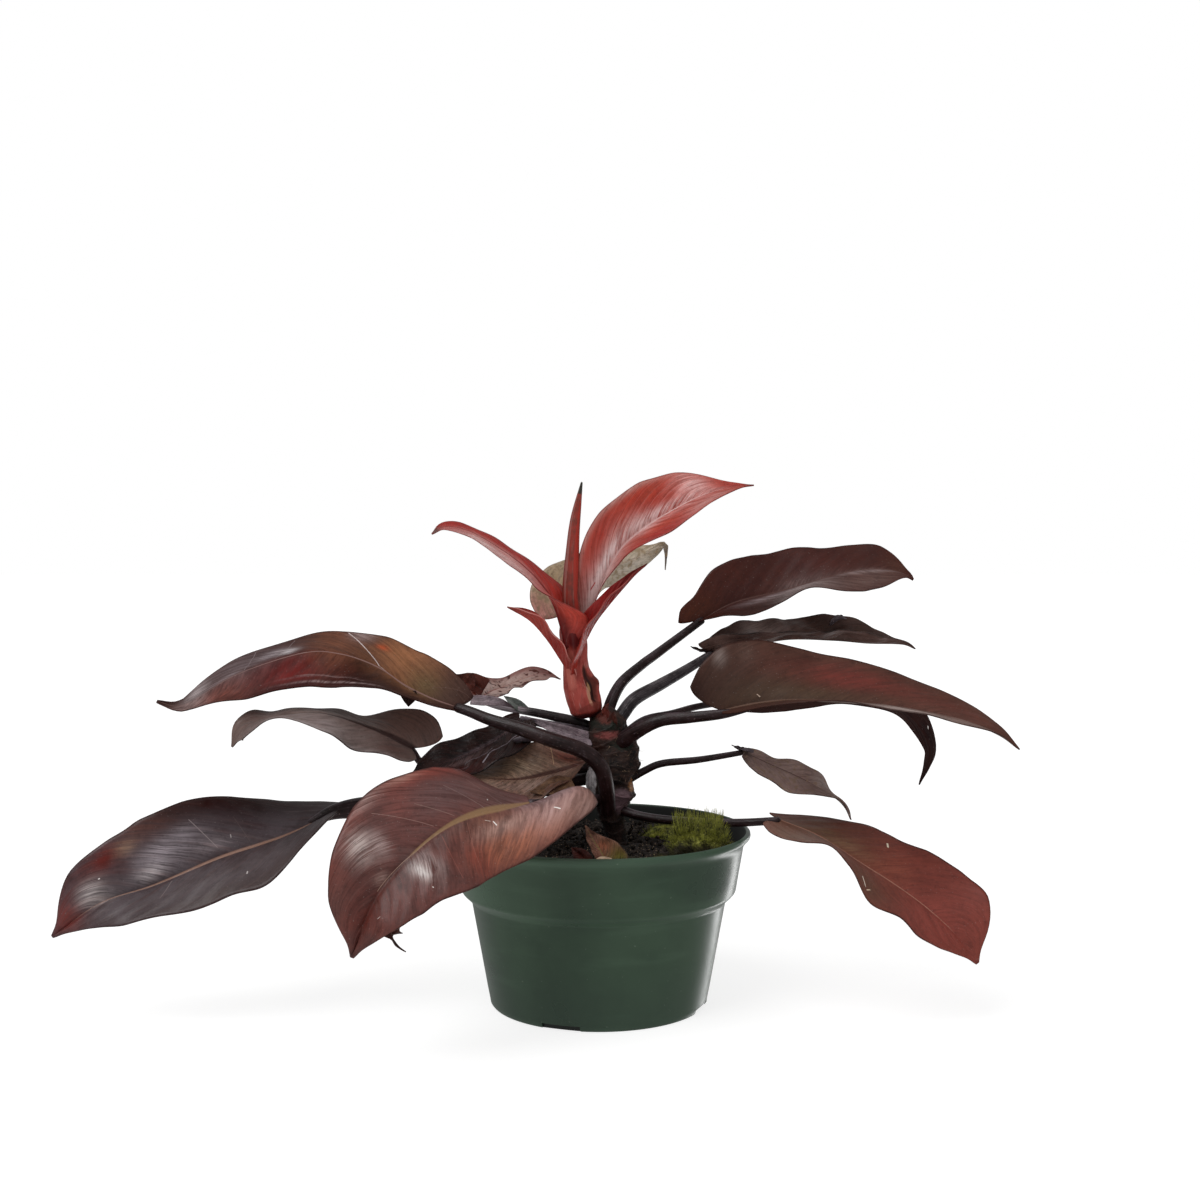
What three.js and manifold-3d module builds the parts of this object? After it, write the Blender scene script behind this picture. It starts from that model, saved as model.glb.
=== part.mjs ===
// A potted philodendron with dark red leaves, in millimetres, +Z up.
// The origin is the centre of the pot's underside, and -Y is the plant's front.
import * as THREE from 'three';
import { mergeVertices } from 'three/addons/utils/BufferGeometryUtils.js';
import Module from 'manifold-3d';

const wasm = await Module();
wasm.setup();

// Driving dimensions of the pot
const potHeight = 94.5;
const lipRadius = 82.5;
const collarTopRadius = 78.8;
const collarFootRadius = 74.3;
const collarFoot = 62;
const stepFoot = 57;
const stepRadius = 69.3;
const footRadius = 59.2;
const standRadius = 54;
const potWall = 1.5;
const floorThickness = 2;
const notchCount = 4;
const notchFirstAngle = -113;
const notchWidth = 21;
const notchDepth = 16;
const notchHeight = 3;
const potSegments = 40;

// Potting mix and what lies on it
const mixTop = 85;
const mixBump = 1.2;
const mixDrop = 1.5;

// Leaves and fits
const bladeThickness = 0.8;
const seatGap = 0.3;
const bladeRows = 12;
const bladeColumns = 2;
const rowCrowding = 1.25;
const lobeEnd = 0.3;
const stalkSides = 7;

// Half width of a blade along its midrib, as shares of length and of full reach
const outlines = {
  heart: [
    [0, 0.34], [0.03, 0.58], [0.08, 0.79], [0.16, 0.93], [0.28, 1], [0.42, 0.98],
    [0.58, 0.88], [0.72, 0.7], [0.84, 0.45], [0.92, 0.22], [0.96, 0.09], [1, 0.02],
  ],
  spear: [
    [0, 0.12], [0.06, 0.26], [0.14, 0.5], [0.26, 0.8], [0.42, 1], [0.58, 0.98],
    [0.72, 0.8], [0.84, 0.5], [0.92, 0.24], [0.96, 0.1], [1, 0.02],
  ],
  sheath: [
    [0, 0.75], [0.15, 0.9], [0.35, 1], [0.55, 0.92], [0.72, 0.72], [0.86, 0.42], [0.95, 0.16], [1, 0.03],
  ],
};

// Each leaf: the midrib from its joint to its tip, and for the halves on the left and right of that
// line the reach in mm and the lift in degrees at five even places, and how far the lobe sweeps back.
// The stalk is the petiole from the stem to the joint, with its radii.
const leaves = {
  far_left: {
    rib: [[-150, -8, 101], [-169, -16, 93], [-200, -26, 84], [-233, -34, 71], [-261, -38, 62], [-285, -40, 45]],
    left: { lobe: 15, reach: [28, 34, 31, 31, 32], lift: [12, -24, -30, -32, -50] },
    right: { lobe: 14, reach: [32, 34, 36, 41, 44], lift: [8, 45, 76, 83, 88] },
    stalk: [[2, 8, 123], [-33, 10, 115], [-82, 6, 108], [-138, -4, 104], [-150, -8, 101]],
    radii: [4, 3.6, 3.6, 4, 3.2],
  },
  front: {
    rib: [[-34, -86, 123], [-60, -104, 121], [-78, -115, 113], [-96, -126, 97], [-106, -132, 82], [-114, -136, 60]],
    left: { lobe: 26, reach: [48, 32, 35, 34, 33], lift: [21, -57, -44, -38, -32] },
    right: { lobe: 3, reach: [32, 33, 37, 40, 36], lift: [9, 37, 50, 65, 64] },
    stalk: [[1, -3, 112], [-8, -28, 113], [-20, -56, 118], [-34, -86, 123]],
    radii: [3.4, 3, 2.8, 2.6],
  },
  upper_left: {
    rib: [
      [-77, -16, 163], [-90, -18, 168], [-103, -20, 175], [-117, -23, 185], [-135, -26, 192],
      [-155, -28, 193], [-189, -31, 182], [-212, -32, 168], [-221, -32, 165], [-231, -33, 168],
    ],
    left: { lobe: 10, reach: [31, 33, 24, 26, 28], lift: [-20, -20, -55, -46, -24] },
    right: { lobe: 8, reach: [27, 29, 27, 30, 31], lift: [66, 36, 15, 30, 44] },
    stalk: [
      [5, -14, 105], [4, -26, 121], [1, -33, 133], [-8, -37, 142], [-25, -36, 148],
      [-41, -31, 153], [-57, -25, 157], [-69, -20, 161], [-77, -16, 163],
    ],
    radii: [4.2, 4.2, 4.2, 4.2, 4, 3.8, 3.4, 3, 2.6],
  },
  spotted: {
    rib: [[-65, 16, 164], [-62, 40, 165], [-55, 62, 166], [-44, 80, 169], [-33, 90, 171], [-23, 94, 167]],
    left: { lobe: 5, reach: [13, 13, 12, 12, 13], lift: [35, 45, 25, 20, 40] },
    right: { lobe: 4, reach: [13, 12, 12, 12, 13], lift: [5, 0, 0, -13, -25] },
    stalk: [[-4, 6, 151], [-11, 6, 154], [-29, 8, 159], [-41, 10, 160], [-54, 12, 161], [-65, 16, 164]],
    radii: [3.2, 3, 2.6, 2.4, 2.2, 2],
  },
  mid_left: {
    rib: [
      [-100, -18, 141], [-119, -28, 153], [-142, -38, 162], [-160, -42, 162], [-176, -44, 159],
      [-185, -43, 154], [-190, -42, 145],
    ],
    left: { lobe: 1, reach: [16, 15, 23, 20, 20], lift: [-35, -56, -20, -2, -60] },
    right: { lobe: 11, reach: [32, 17, 18, 21, 24], lift: [100, 18, 4, 8, 80] },
    stalk: [[1, 4, 129], [-22, 4, 125], [-54, 0, 123], [-81, -8, 125], [-94, -15, 132], [-100, -18, 141]],
    radii: [3.2, 2.8, 2.5, 2.3, 2.2, 2],
  },
  dark_left: {
    rib: [[-43, -2, 155], [-54, -12, 146], [-69, -24, 139], [-84, -36, 135], [-97, -46, 131]],
    left: { lobe: 4, reach: [20, 18, 18, 19, 19], lift: [-35, -17, -19, -29, -30] },
    right: { lobe: 2, reach: [8, 9, 12, 16, 18], lift: [55, 50, 45, 45, 50] },
    stalk: [[-7, 2, 147], [-22, 2, 150], [-35, 0, 153], [-43, -2, 155]],
    radii: [2.8, 2.4, 2.1, 1.9],
  },
  brown_left: {
    rib: [[-7, -14, 133], [-21, -20, 129], [-41, -27, 126], [-60, -34, 127], [-72, -40, 124]],
    left: { lobe: 0, reach: [19, 19, 20, 21, 22], lift: [-45, -18, -37, -48, -50] },
    right: { lobe: 2, reach: [19, 19, 19, 22, 22], lift: [11, 46, 42, 12, 39] },
    stalk: [[3, -3, 131], [-2, -8, 132], [-7, -14, 133]],
    radii: [3, 2.6, 2.3],
  },
  hidden_front: {
    rib: [
      [-65, -70, 122], [-79, -84, 105], [-91, -92, 86], [-99, -95, 70], [-101, -96, 61],
      [-99, -96, 56], [-94, -96, 52],
    ],
    left: { lobe: 8, reach: [15, 15, 15, 15, 15], lift: [-10, -10, -10, -10, -10] },
    right: { lobe: 8, reach: [15, 15, 15, 15, 15], lift: [10, 10, 10, 10, 10] },
    stalk: [[2, 2, 116], [-22, -18, 106], [-46, -48, 108], [-60, -66, 116], [-65, -70, 122]],
    radii: [2.8, 2.4, 2.2, 2, 1.9],
  },
  upper_right: {
    rib: [
      [59, 34, 207], [77, 38, 216], [106, 44, 223], [130, 48, 230], [149, 52, 234],
      [167, 54, 234], [177, 56, 231], [181, 56, 228],
    ],
    left: { lobe: 19, reach: [24, 26, 26, 28, 30], lift: [60, 72, 42, 47, 60] },
    right: { lobe: 4, reach: [26, 12, 11, 24, 26], lift: [10, -45, -25, -46, -38] },
    stalk: [[4, 2, 154], [7, 4, 164], [13, 8, 174], [24, 14, 183], [33, 20, 189], [59, 34, 207]],
    radii: [3.4, 3.2, 2.8, 2.6, 2.4, 2.2],
  },
  crumpled_right: {
    rib: [
      [63, 30, 189], [77, 34, 190], [106, 42, 195], [135, 50, 194], [155, 54, 192],
      [175, 58, 191], [183, 58, 188],
    ],
    left: { lobe: 2, reach: [16, 18, 18, 18, 17], lift: [67, 39, 41, 60, 33] },
    right: { lobe: 8, reach: [18, 17, 16, 16, 17], lift: [67, 33, 26, 35, 39] },
    stalk: [[8, 2, 149], [12, 4, 158], [19, 7, 167], [33, 14, 174], [47, 22, 180], [63, 30, 189]],
    radii: [4, 3.9, 3.6, 3.2, 2.8, 2.4],
  },
  long_right: {
    rib: [
      [65, -26, 162], [84, -28, 166], [105, -30, 168], [136, -32, 167], [158, -34, 165],
      [188, -36, 159], [208, -37, 151], [219, -38, 143],
    ],
    left: { lobe: 14, reach: [42, 32, 29, 29, 29], lift: [85, 52, 38, 27, 38] },
    right: { lobe: 2, reach: [24, 28, 29, 29, 29], lift: [-20, -6, 2, -5, 0] },
    stalk: [[10, -4, 142], [21, -12, 153], [33, -17, 158], [48, -21, 160], [65, -26, 162]],
    radii: [4.6, 4, 3.2, 2.8, 2.6],
  },
  drooping_right: {
    rib: [
      [79, 34, 161], [108, 40, 162], [137, 46, 160], [165, 52, 153], [182, 56, 144],
      [191, 58, 132], [190, 58, 121], [186, 58, 109],
    ],
    face: [1, 0, 0.6],
    left: { lobe: 6, reach: [17, 16, 15, 16, 19], lift: [0, 0, -5, 34, 45] },
    right: { lobe: 6, reach: [17, 17, 16, 16, 18], lift: [-10, -13, -4, -26, -45] },
    stalk: [[12, 3, 144], [25, 8, 153], [41, 14, 156], [56, 22, 159], [79, 34, 161]],
    radii: [2.6, 2.2, 2, 1.9, 1.8],
  },
  small_right: {
    rib: [
      [79, 2, 136], [93, 0, 130], [109, -2, 123], [122, -4, 116], [130, -4, 111],
      [135, -4, 105], [137, -4, 100],
    ],
    left: { lobe: 6, reach: [11, 11, 13, 13, 13], lift: [18, 21, 36, 17, 25] },
    right: { lobe: 0, reach: [11, 12, 13, 13, 13], lift: [-18, -32, -33, 3, -19] },
    stalk: [[14, 0, 120], [25, 2, 126], [35, 2, 130], [55, 2, 132], [79, 2, 136]],
    radii: [2.4, 2.1, 2, 1.8, 1.6],
  },
  low_right: {
    rib: [
      [97, -22, 103], [116, -28, 96], [136, -36, 84], [153, -42, 74], [170, -46, 62],
      [185, -50, 48], [195, -52, 34],
    ],
    left: { lobe: 8, reach: [30, 31, 32, 46, 58], lift: [-2, 15, 30, 49, 80] },
    right: { lobe: 8, reach: [20, 24, 32, 32, 30], lift: [-39, 14, -15, -22, -52] },
    stalk: [[7, 0, 107], [22, -8, 103], [43, -12, 101], [72, -18, 101], [97, -22, 103]],
    radii: [2.8, 2.5, 2.4, 2.3, 2.2],
  },
  young_back: {
    rib: [
      [-13, 20, 214], [-7, 26, 224], [1, 32, 233], [11, 38, 241], [23, 44, 245],
      [33, 48, 247], [37, 50, 242], [38, 50, 233],
    ],
    face: [0, -1, 0.2],
    left: { lobe: 17, reach: [46, 20, 15, 12, 9], lift: [10, 10, 0, 0, 0] },
    right: { lobe: 13, reach: [11, 10, 10, 9, 6], lift: [-40, -50, -55, -50, -40] },
    stalk: [[-2, 6, 152], [-9, 14, 180], [-13, 18, 200], [-13, 20, 214]],
    radii: [2.6, 2.4, 2.1, 1.9],
  },
  new_red: {
    rib: [
      [-9, 1, 205], [-2, 0, 220], [4, -3, 233], [12, -6, 247], [24, -8, 258],
      [40, -8, 268], [56, -8, 276], [72, -8, 280], [83, -8, 281],
    ],
    outline: 'spear',
    face: [0, -1, 0.2],
    left: { lobe: 0, reach: [22, 22, 21, 23, 20], lift: [6, 8, 10, -20, -45] },
    right: { lobe: 0, reach: [19, 19, 21, 20, 20], lift: [55, 72, 60, 54, 58] },
  },
  left_red: {
    rib: [
      [-11, -4, 204], [-19, -8, 216], [-30, -12, 228], [-42, -16, 240], [-56, -18, 250],
      [-69, -20, 257], [-81, -21, 259], [-88, -22, 255],
    ],
    outline: 'sheath',
    face: [0.5, 0, 1],
    left: { lobe: 0, reach: [16, 9, 8, 8, 9], lift: [-67, -50, -50, -51, -48] },
    right: { lobe: 0, reach: [14, 11, 12, 12, 12], lift: [51, 19, 21, 14, 39] },
  },
};

// Red sheaths round the shoot and the dry scale leaf in the mix, made as small folded blades
const sheaths = {
  right_sheath: {
    rib: [[-7, -3, 184], [-4, -5, 192], [3, -8, 208], [14, -9, 226], [26, -10, 239]],
    outline: 'sheath',
    face: [-0.7, -0.3, 0.5],
    left: { lobe: 0, reach: [7, 8, 8, 7, 5], lift: [45, 45, 50, 50, 50] },
    right: { lobe: 0, reach: [7, 8, 8, 7, 5], lift: [45, 45, 50, 50, 50] },
  },
  small_left_sheath: {
    rib: [[-15, -3, 178], [-21, -5, 188], [-28, -8, 199], [-37, -10, 209], [-49, -11, 216]],
    outline: 'sheath',
    face: [0.7, -0.3, 0.6],
    left: { lobe: 0, reach: [6, 7, 6, 5, 4], lift: [50, 50, 50, 50, 50] },
    right: { lobe: 0, reach: [6, 7, 6, 5, 4], lift: [50, 50, 50, 50, 50] },
  },
  dry_bract: {
    rib: [[2, -48, 83], [0, -46, 92], [-6, -42, 104]],
    outline: 'sheath',
    face: [0, -1, 0.3],
    left: { lobe: 0, reach: [13, 12, 9, 7, 5], lift: [20, 20, 20, 20, 20] },
    right: { lobe: 0, reach: [13, 12, 9, 7, 5], lift: [20, 20, 20, 20, 20] },
  },
};

// Round pieces: a middle line with radii
const stem = {
  path: [[9, 2, 66], [9, 2, 89], [7, 0, 103], [7, 0, 113], [9, 0, 124], [9, 0, 137], [4, 0, 148], [1, 0, 156], [0, 0, 160]],
  radii: [8, 7.5, 6.6, 8, 12, 12.5, 11.5, 10, 7],
};
const shoot = {
  path: [[-6, 0, 153], [-7, 0, 162], [-9, 0, 170], [-12, 0, 181], [-12.5, 0, 192], [-14, 0, 202], [-14.5, 0, 210]],
  radii: [5, 8.5, 9, 6.8, 6.5, 7.2, 6.6],
};
const spear = {
  path: [[-14, -3, 212], [-15, -4, 224], [-14, -5, 244], [-12.5, -5, 262], [-9, -6, 283]],
  radii: [4.6, 4.4, 3.6, 2.6, 0.5],
};

// Soft lumps: centre, half sizes
const mossClump = { centre: [57, -28, 86], half: [19, 16, 20] };
const mossLowTuft = { centre: [35, -43, 85], half: [13, 13, 14] };
const mossFrontTuft = { centre: [14, -58, 85], half: [13, 8, 10] };
const pebble = { centre: [-1, -70, 87.5], half: [6.5, 4, 4] };

// Colours seen in the photograph
const colours = {
  pot: 0x3c5446,
  mix: 0x2a201a,
  moss: 0x6d7830,
  pebble: 0xb09880,
  bract: 0x8a5c4c,
  bark: 0x2b201d,
  petiole: 0x231c1c,
  blade: 0x6b4038,
  red: 0xb4493f,
};

function vector([x, y, z]) {
  return new THREE.Vector3(x, y, z);
}

function smoothLine(points) {
  return new THREE.CatmullRomCurve3(points.map(vector), false, 'catmullrom', 0.5);
}

// A value between even places, on the same smooth curve as the lines
function smoothValue(values, share) {
  return smoothLine(values.map((value) => [value, 0, 0])).getPoint(share).x;
}

function outlineShare(table, share) {
  let k = 1;
  while (k < table.length - 1 && table[k][0] < share) {
    k += 1;
  }
  const [s0, w0] = table[k - 1];
  const [s1, w1] = table[k];
  return THREE.MathUtils.mapLinear(share, s0, s1, w0, w1);
}

// A closed solid from points and triangles; a shape wound inside out is turned round
function solidFrom(points, triangles) {
  const whole = triangles.filter(([a, b, c]) => a !== b && b !== c && c !== a);
  let volume = 0;
  for (const [a, b, c] of whole) {
    volume += points[a].dot(points[b].clone().cross(points[c]));
  }
  const wound = volume < 0 ? whole.map(([a, b, c]) => [a, c, b]) : whole;
  const vertProperties = new Float32Array(points.flatMap((p) => [p.x, p.y, p.z]));
  const triVerts = new Uint32Array(wound.flat());
  return new wasm.Manifold(new wasm.Mesh({ numProp: 3, vertProperties, triVerts }));
}

function solidFromGeometry(geometry) {
  geometry.deleteAttribute('normal');
  geometry.deleteAttribute('uv');
  const merged = mergeVertices(geometry, 1e-4);
  const place = merged.getAttribute('position');
  const points = [];
  for (let k = 0; k < place.count; k += 1) {
    points.push(new THREE.Vector3().fromBufferAttribute(place, k));
  }
  const triangles = [];
  for (let k = 0; k < merged.index.count; k += 3) {
    triangles.push([0, 1, 2].map((n) => merged.index.getX(k + n)));
  }
  return solidFrom(points, triangles);
}

// A closed round rod along a smooth line; grow makes the slightly larger body that cuts its neighbours
function rod({ path, radii }, sides, grow = 0) {
  const line = smoothLine(path);
  const steps = 2 * (path.length - 1);
  const frames = line.computeFrenetFrames(steps, false);
  const points = [];
  for (let k = 0; k <= steps; k += 1) {
    const centre = line.getPointAt(k / steps);
    const end = k === 0 ? -grow : k === steps ? grow : 0;
    centre.addScaledVector(frames.tangents[k], end);
    const radius = smoothValue(radii, k / steps) + grow;
    for (let n = 0; n < sides; n += 1) {
      const angle = (2 * Math.PI * n) / sides;
      points.push(
        centre.clone()
          .addScaledVector(frames.normals[k], radius * Math.cos(angle))
          .addScaledVector(frames.binormals[k], radius * Math.sin(angle)),
      );
    }
  }
  const triangles = [];
  for (let k = 0; k < steps; k += 1) {
    for (let n = 0; n < sides; n += 1) {
      const m = (n + 1) % sides;
      const [a, b] = [k * sides + n, k * sides + m];
      triangles.push([a, b, b + sides], [a, b + sides, a + sides]);
    }
  }
  const top = steps * sides;
  for (let n = 1; n < sides - 1; n += 1) {
    triangles.push([0, n + 1, n], [top, top + n, top + n + 1]);
  }
  return solidFrom(points, triangles);
}

// The middle surface of a blade, as rows from joint to tip and columns from margin to margin
function bladeSurface(blade, grow) {
  const line = smoothLine(blade.rib);
  const face = vector(blade.face ?? [0, 0, 1]);
  const table = outlines[blade.outline ?? 'heart'];
  const rows = [];
  for (let r = 0; r <= bladeRows; r += 1) {
    const share = (r / bladeRows) ** rowCrowding;
    const along = line.getTangentAt(share);
    const side = along.clone().cross(face).normalize();
    const up = side.clone().cross(along);
    const centre = line.getPointAt(share);
    const end = r === 0 ? -grow : r === bladeRows ? grow : 0;
    centre.addScaledVector(along, end);
    const row = [];
    for (let c = -bladeColumns; c <= bladeColumns; c += 1) {
      const half = c < 0 ? blade.left : blade.right;
      const out = Math.abs(c) / bladeColumns;
      const lift = THREE.MathUtils.degToRad(smoothValue(half.lift, share));
      const reach = smoothValue(half.reach, share) * outlineShare(table, share) + grow;
      const sweep = half.lobe * Math.max(0, 1 - share / lobeEnd) ** 2;
      row.push(
        centre.clone()
          .addScaledVector(along, -sweep * out ** 1.5)
          .addScaledVector(side, Math.sign(c) * reach * out * Math.cos(lift))
          .addScaledVector(up, reach * out * Math.sin(lift)),
      );
    }
    rows.push(row);
  }
  return rows;
}

// The blade as a closed slab of even thickness round its middle surface
function bladeSolid(blade, grow = 0) {
  const rows = bladeSurface(blade, grow);
  const wide = rows[0].length;
  const half = bladeThickness / 2 + grow;
  const over = [];
  const under = [];
  rows.forEach((row, r) => row.forEach((point, c) => {
    const down = rows[Math.min(r + 1, rows.length - 1)][c].clone().sub(rows[Math.max(r - 1, 0)][c]);
    const across = row[Math.min(c + 1, wide - 1)].clone().sub(row[Math.max(c - 1, 0)]);
    const normal = across.cross(down).normalize();
    over.push(point.clone().addScaledVector(normal, half));
    under.push(point.clone().addScaledVector(normal, -half));
  }));
  const count = over.length;
  const triangles = [];
  const border = [];
  for (let r = 0; r < rows.length - 1; r += 1) {
    for (let c = 0; c < wide - 1; c += 1) {
      const [a, b] = [r * wide + c, r * wide + c + 1];
      triangles.push([a, b, b + wide], [a, b + wide, a + wide]);
      triangles.push([count + a, count + b + wide, count + b], [count + a, count + a + wide, count + b + wide]);
    }
    border.push([r * wide, (r + 1) * wide], [(r + 2) * wide - 1, (r + 1) * wide - 1]);
  }
  for (let c = 0; c < wide - 1; c += 1) {
    const last = (rows.length - 1) * wide + c;
    border.push([c + 1, c], [last, last + 1]);
  }
  for (const [a, b] of border) {
    triangles.push([a, b, count + b], [a, count + b, count + a]);
  }
  return solidFrom([...over, ...under], triangles);
}

// A lumpy dome for moss or a pebble
function lump({ centre, half }, roughness, grow = 0) {
  const geometry = new THREE.SphereGeometry(1, 14, 9);
  geometry.rotateX(Math.PI / 2);
  const place = geometry.getAttribute('position');
  for (let k = 0; k < place.count; k += 1) {
    const p = new THREE.Vector3().fromBufferAttribute(place, k);
    const bump = 1 + roughness * Math.sin(5 * p.x + centre[0]) * Math.cos(6 * p.y) * (1 - p.z * p.z);
    p.multiplyScalar(bump).multiply(vector(half).addScalar(grow)).add(vector(centre));
    place.setXYZ(k, p.x, p.y, p.z);
  }
  return solidFromGeometry(geometry);
}

function latheSolid(profile, segments, reshape) {
  const geometry = new THREE.LatheGeometry(profile.map(([r, z]) => new THREE.Vector2(r, z)), segments);
  geometry.rotateX(Math.PI / 2);
  if (reshape) {
    reshape(geometry.getAttribute('position'));
  }
  return solidFromGeometry(geometry);
}

// Pot walls: the outer line from the foot up, then the inner line down
function potSolid(grow = 0) {
  const inside = (radius) => radius - potWall - grow;
  const outside = (radius) => radius + grow;
  const profile = [
    [0, -grow], [standRadius, -grow], [outside(57.4), 1], [outside(footRadius), 3.4],
    [outside(stepRadius), stepFoot], [outside(collarFootRadius), collarFoot], [outside(77.6), 80],
    [outside(collarTopRadius), 87], [outside(81.2), 90.4], [outside(lipRadius), 92.4],
    [outside(82.2), 94], [80.8, potHeight + grow], [79.2 - grow, 92.6], [inside(collarTopRadius), 86],
    [inside(77.6), 79.6], [inside(collarFootRadius), 62.4], [inside(stepRadius), 57.6],
    [inside(footRadius), 4.2], [55.4 - grow, floorThickness + grow], [0, floorThickness + grow],
  ];
  const notch = new THREE.BoxGeometry(notchDepth, notchWidth, 2 * notchHeight);
  let pot = latheSolid(profile, potSegments);
  for (let k = 0; k < notchCount; k += 1) {
    const angle = THREE.MathUtils.degToRad(notchFirstAngle + (360 / notchCount) * k);
    const place = new THREE.Matrix4().makeRotationZ(angle).multiply(
      new THREE.Matrix4().makeTranslation(footRadius, 0, 0),
    );
    pot = pot.subtract(solidFromGeometry(notch.clone().applyMatrix4(place)));
  }
  return pot;
}

// The potting mix fills the pot to a bumpy top and clears the wall by the seat gap
function mixSolid(grow = 0) {
  const fill = (radius) => radius - potWall - seatGap + grow;
  const profile = [
    [0, floorThickness + seatGap], [54.8, floorThickness + seatGap], [fill(footRadius) - 0.2, 4.6],
    [fill(stepRadius) - 0.2, 57.8], [fill(collarFootRadius) - 0.2, 62.8], [fill(77.6) - 0.2, 79.8],
    [fill(77.6), mixTop - mixDrop], [64, mixTop], [50, mixTop], [36, mixTop], [22, mixTop],
    [10, mixTop], [0, mixTop],
  ];
  return latheSolid(profile, potSegments, (place) => {
    for (let k = 0; k < place.count; k += 1) {
      const [x, y, z] = [place.getX(k), place.getY(k), place.getZ(k)];
      if (z > mixTop - mixDrop + 0.1 || Math.abs(z - mixTop) < 0.01) {
        const bump = mixBump * (Math.sin(x / 7) * Math.cos(y / 6) + 0.6 * Math.sin((x + y) / 4));
        place.setZ(k, z + bump + grow);
      }
    }
  });
}

const potted = new THREE.Group();
const placed = [];

function touches(a, b) {
  return [0, 1, 2].every((k) => a.min[k] < b.max[k] && b.min[k] < a.max[k]);
}

// Adds a piece; it gives way, by the seat gap, to every piece placed before it
function place(name, make, colour, roughness) {
  let solid = make(0);
  const ownBox = solid.boundingBox();
  for (const other of placed) {
    if (touches(ownBox, other.grown.boundingBox())) {
      solid = solid.subtract(other.grown).subtract(other.solid);
    }
  }
  const pieces = solid.decompose();
  solid = pieces.reduce((best, piece) => (piece.volume() > best.volume() ? piece : best));
  placed.push({ solid, grown: make(seatGap) });
  const { numProp, vertProperties, triVerts } = solid.getMesh();
  const geometry = new THREE.BufferGeometry();
  geometry.setAttribute('position', new THREE.Float32BufferAttribute(vertProperties, numProp));
  geometry.setIndex([...triVerts]);
  geometry.computeVertexNormals();
  const finish = new THREE.MeshStandardMaterial({ color: colour, roughness, metalness: 0 });
  const mesh = new THREE.Mesh(geometry, finish);
  mesh.name = name;
  potted.add(mesh);
}

place('pot', potSolid, colours.pot, 0.4);
place('stem', (grow) => rod(stem, 14, grow), colours.bark, 0.8);
place('potting_mix', mixSolid, colours.mix, 0.95);
place('young_shoot', (grow) => rod(shoot, 12, grow), colours.red, 0.5);
place('new_spear', (grow) => rod(spear, 10, grow), colours.red, 0.5);

for (const [name, leaf] of Object.entries(leaves)) {
  const colour = name.endsWith('red') ? colours.red : colours.blade;
  place(`${name}_leaf`, (grow) => bladeSolid(leaf, grow), colour, 0.35);
}
for (const [name, leaf] of Object.entries(leaves)) {
  if (leaf.stalk) {
    const stalk = { path: leaf.stalk, radii: leaf.radii };
    place(`${name}_petiole`, (grow) => rod(stalk, stalkSides, grow), colours.petiole, 0.4);
  }
}
for (const [name, sheath] of Object.entries(sheaths)) {
  const colour = name === 'dry_bract' ? colours.bract : colours.red;
  place(name, (grow) => bladeSolid(sheath, grow), colour, 0.5);
}

place('moss_clump', (grow) => lump(mossClump, 0.12, grow), colours.moss, 0.95);
place('moss_low_tuft', (grow) => lump(mossLowTuft, 0.12, grow), colours.moss, 0.95);
place('moss_front_tuft', (grow) => lump(mossFrontTuft, 0.12, grow), colours.moss, 0.95);
place('pebble', (grow) => lump(pebble, 0.05, grow), colours.pebble, 0.8);

export default potted;
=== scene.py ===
# Potted philodendron with dark red leaves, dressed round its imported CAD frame
import math
import random
import bpy
import numpy as np
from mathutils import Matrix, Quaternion, Vector, noise


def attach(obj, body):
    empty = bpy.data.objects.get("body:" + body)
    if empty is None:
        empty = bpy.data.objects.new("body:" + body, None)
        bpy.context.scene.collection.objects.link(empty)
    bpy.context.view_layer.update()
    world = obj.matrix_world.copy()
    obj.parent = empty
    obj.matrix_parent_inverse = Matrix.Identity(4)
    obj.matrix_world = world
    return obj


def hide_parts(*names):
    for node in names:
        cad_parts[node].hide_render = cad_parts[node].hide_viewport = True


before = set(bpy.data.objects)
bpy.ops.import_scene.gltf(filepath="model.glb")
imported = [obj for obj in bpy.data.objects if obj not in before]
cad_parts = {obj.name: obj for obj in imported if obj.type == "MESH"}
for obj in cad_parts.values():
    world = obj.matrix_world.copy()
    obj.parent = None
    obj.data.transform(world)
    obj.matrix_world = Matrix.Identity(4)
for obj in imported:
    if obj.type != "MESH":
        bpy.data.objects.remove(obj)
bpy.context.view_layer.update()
print("frame loaded:", len(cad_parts), "nodes")


# small helpers for every piece

def toLinear(colour, lit=1.0, veil=0.0):
    # a 0-255 colour as it looks in the studio light, turned into the shader's own linear colour:
    # the veil is the haze of reflected light, and lit tells how strongly the light falls there
    shares = [part / 255 for part in colour]
    seen = [s / 12.92 if s <= 0.04045 else ((s + 0.055) / 1.055) ** 2.4 for s in shares]
    return tuple(max(s - veil, 0.002) / lit for s in seen) + (1,)


def smoothAt(points, share):
    # smooth curve through even places, uniform Catmull-Rom as in the CAD source
    points = np.asarray(points, float)
    last = len(points) - 1
    place = np.clip(np.asarray(share, float), 0, 1) * last
    k = np.minimum(place.astype(int), last - 1)
    t = (place - k).reshape((-1,) + (1,) * (points.ndim - 1))
    wide = np.concatenate([[2 * points[0] - points[1]], points, [2 * points[-1] - points[-2]]])
    a, b, c, d = wide[k], wide[k + 1], wide[k + 2], wide[k + 3]
    pullIn, pullOut = 0.5 * (c - a), 0.5 * (d - b)
    cubic = 2 * b - 2 * c + pullIn + pullOut
    square = 3 * c - 3 * b - 2 * pullIn - pullOut
    return cubic * t**3 + square * t**2 + pullIn * t + b


def unit(vectors):
    return vectors / np.maximum(np.linalg.norm(vectors, axis=-1, keepdims=True), 1e-12)


def readTable(share, places, table):
    # the rows of a table, read off between their places
    return np.stack([np.interp(share, places, column) for column in table.T], axis=-1)


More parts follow.
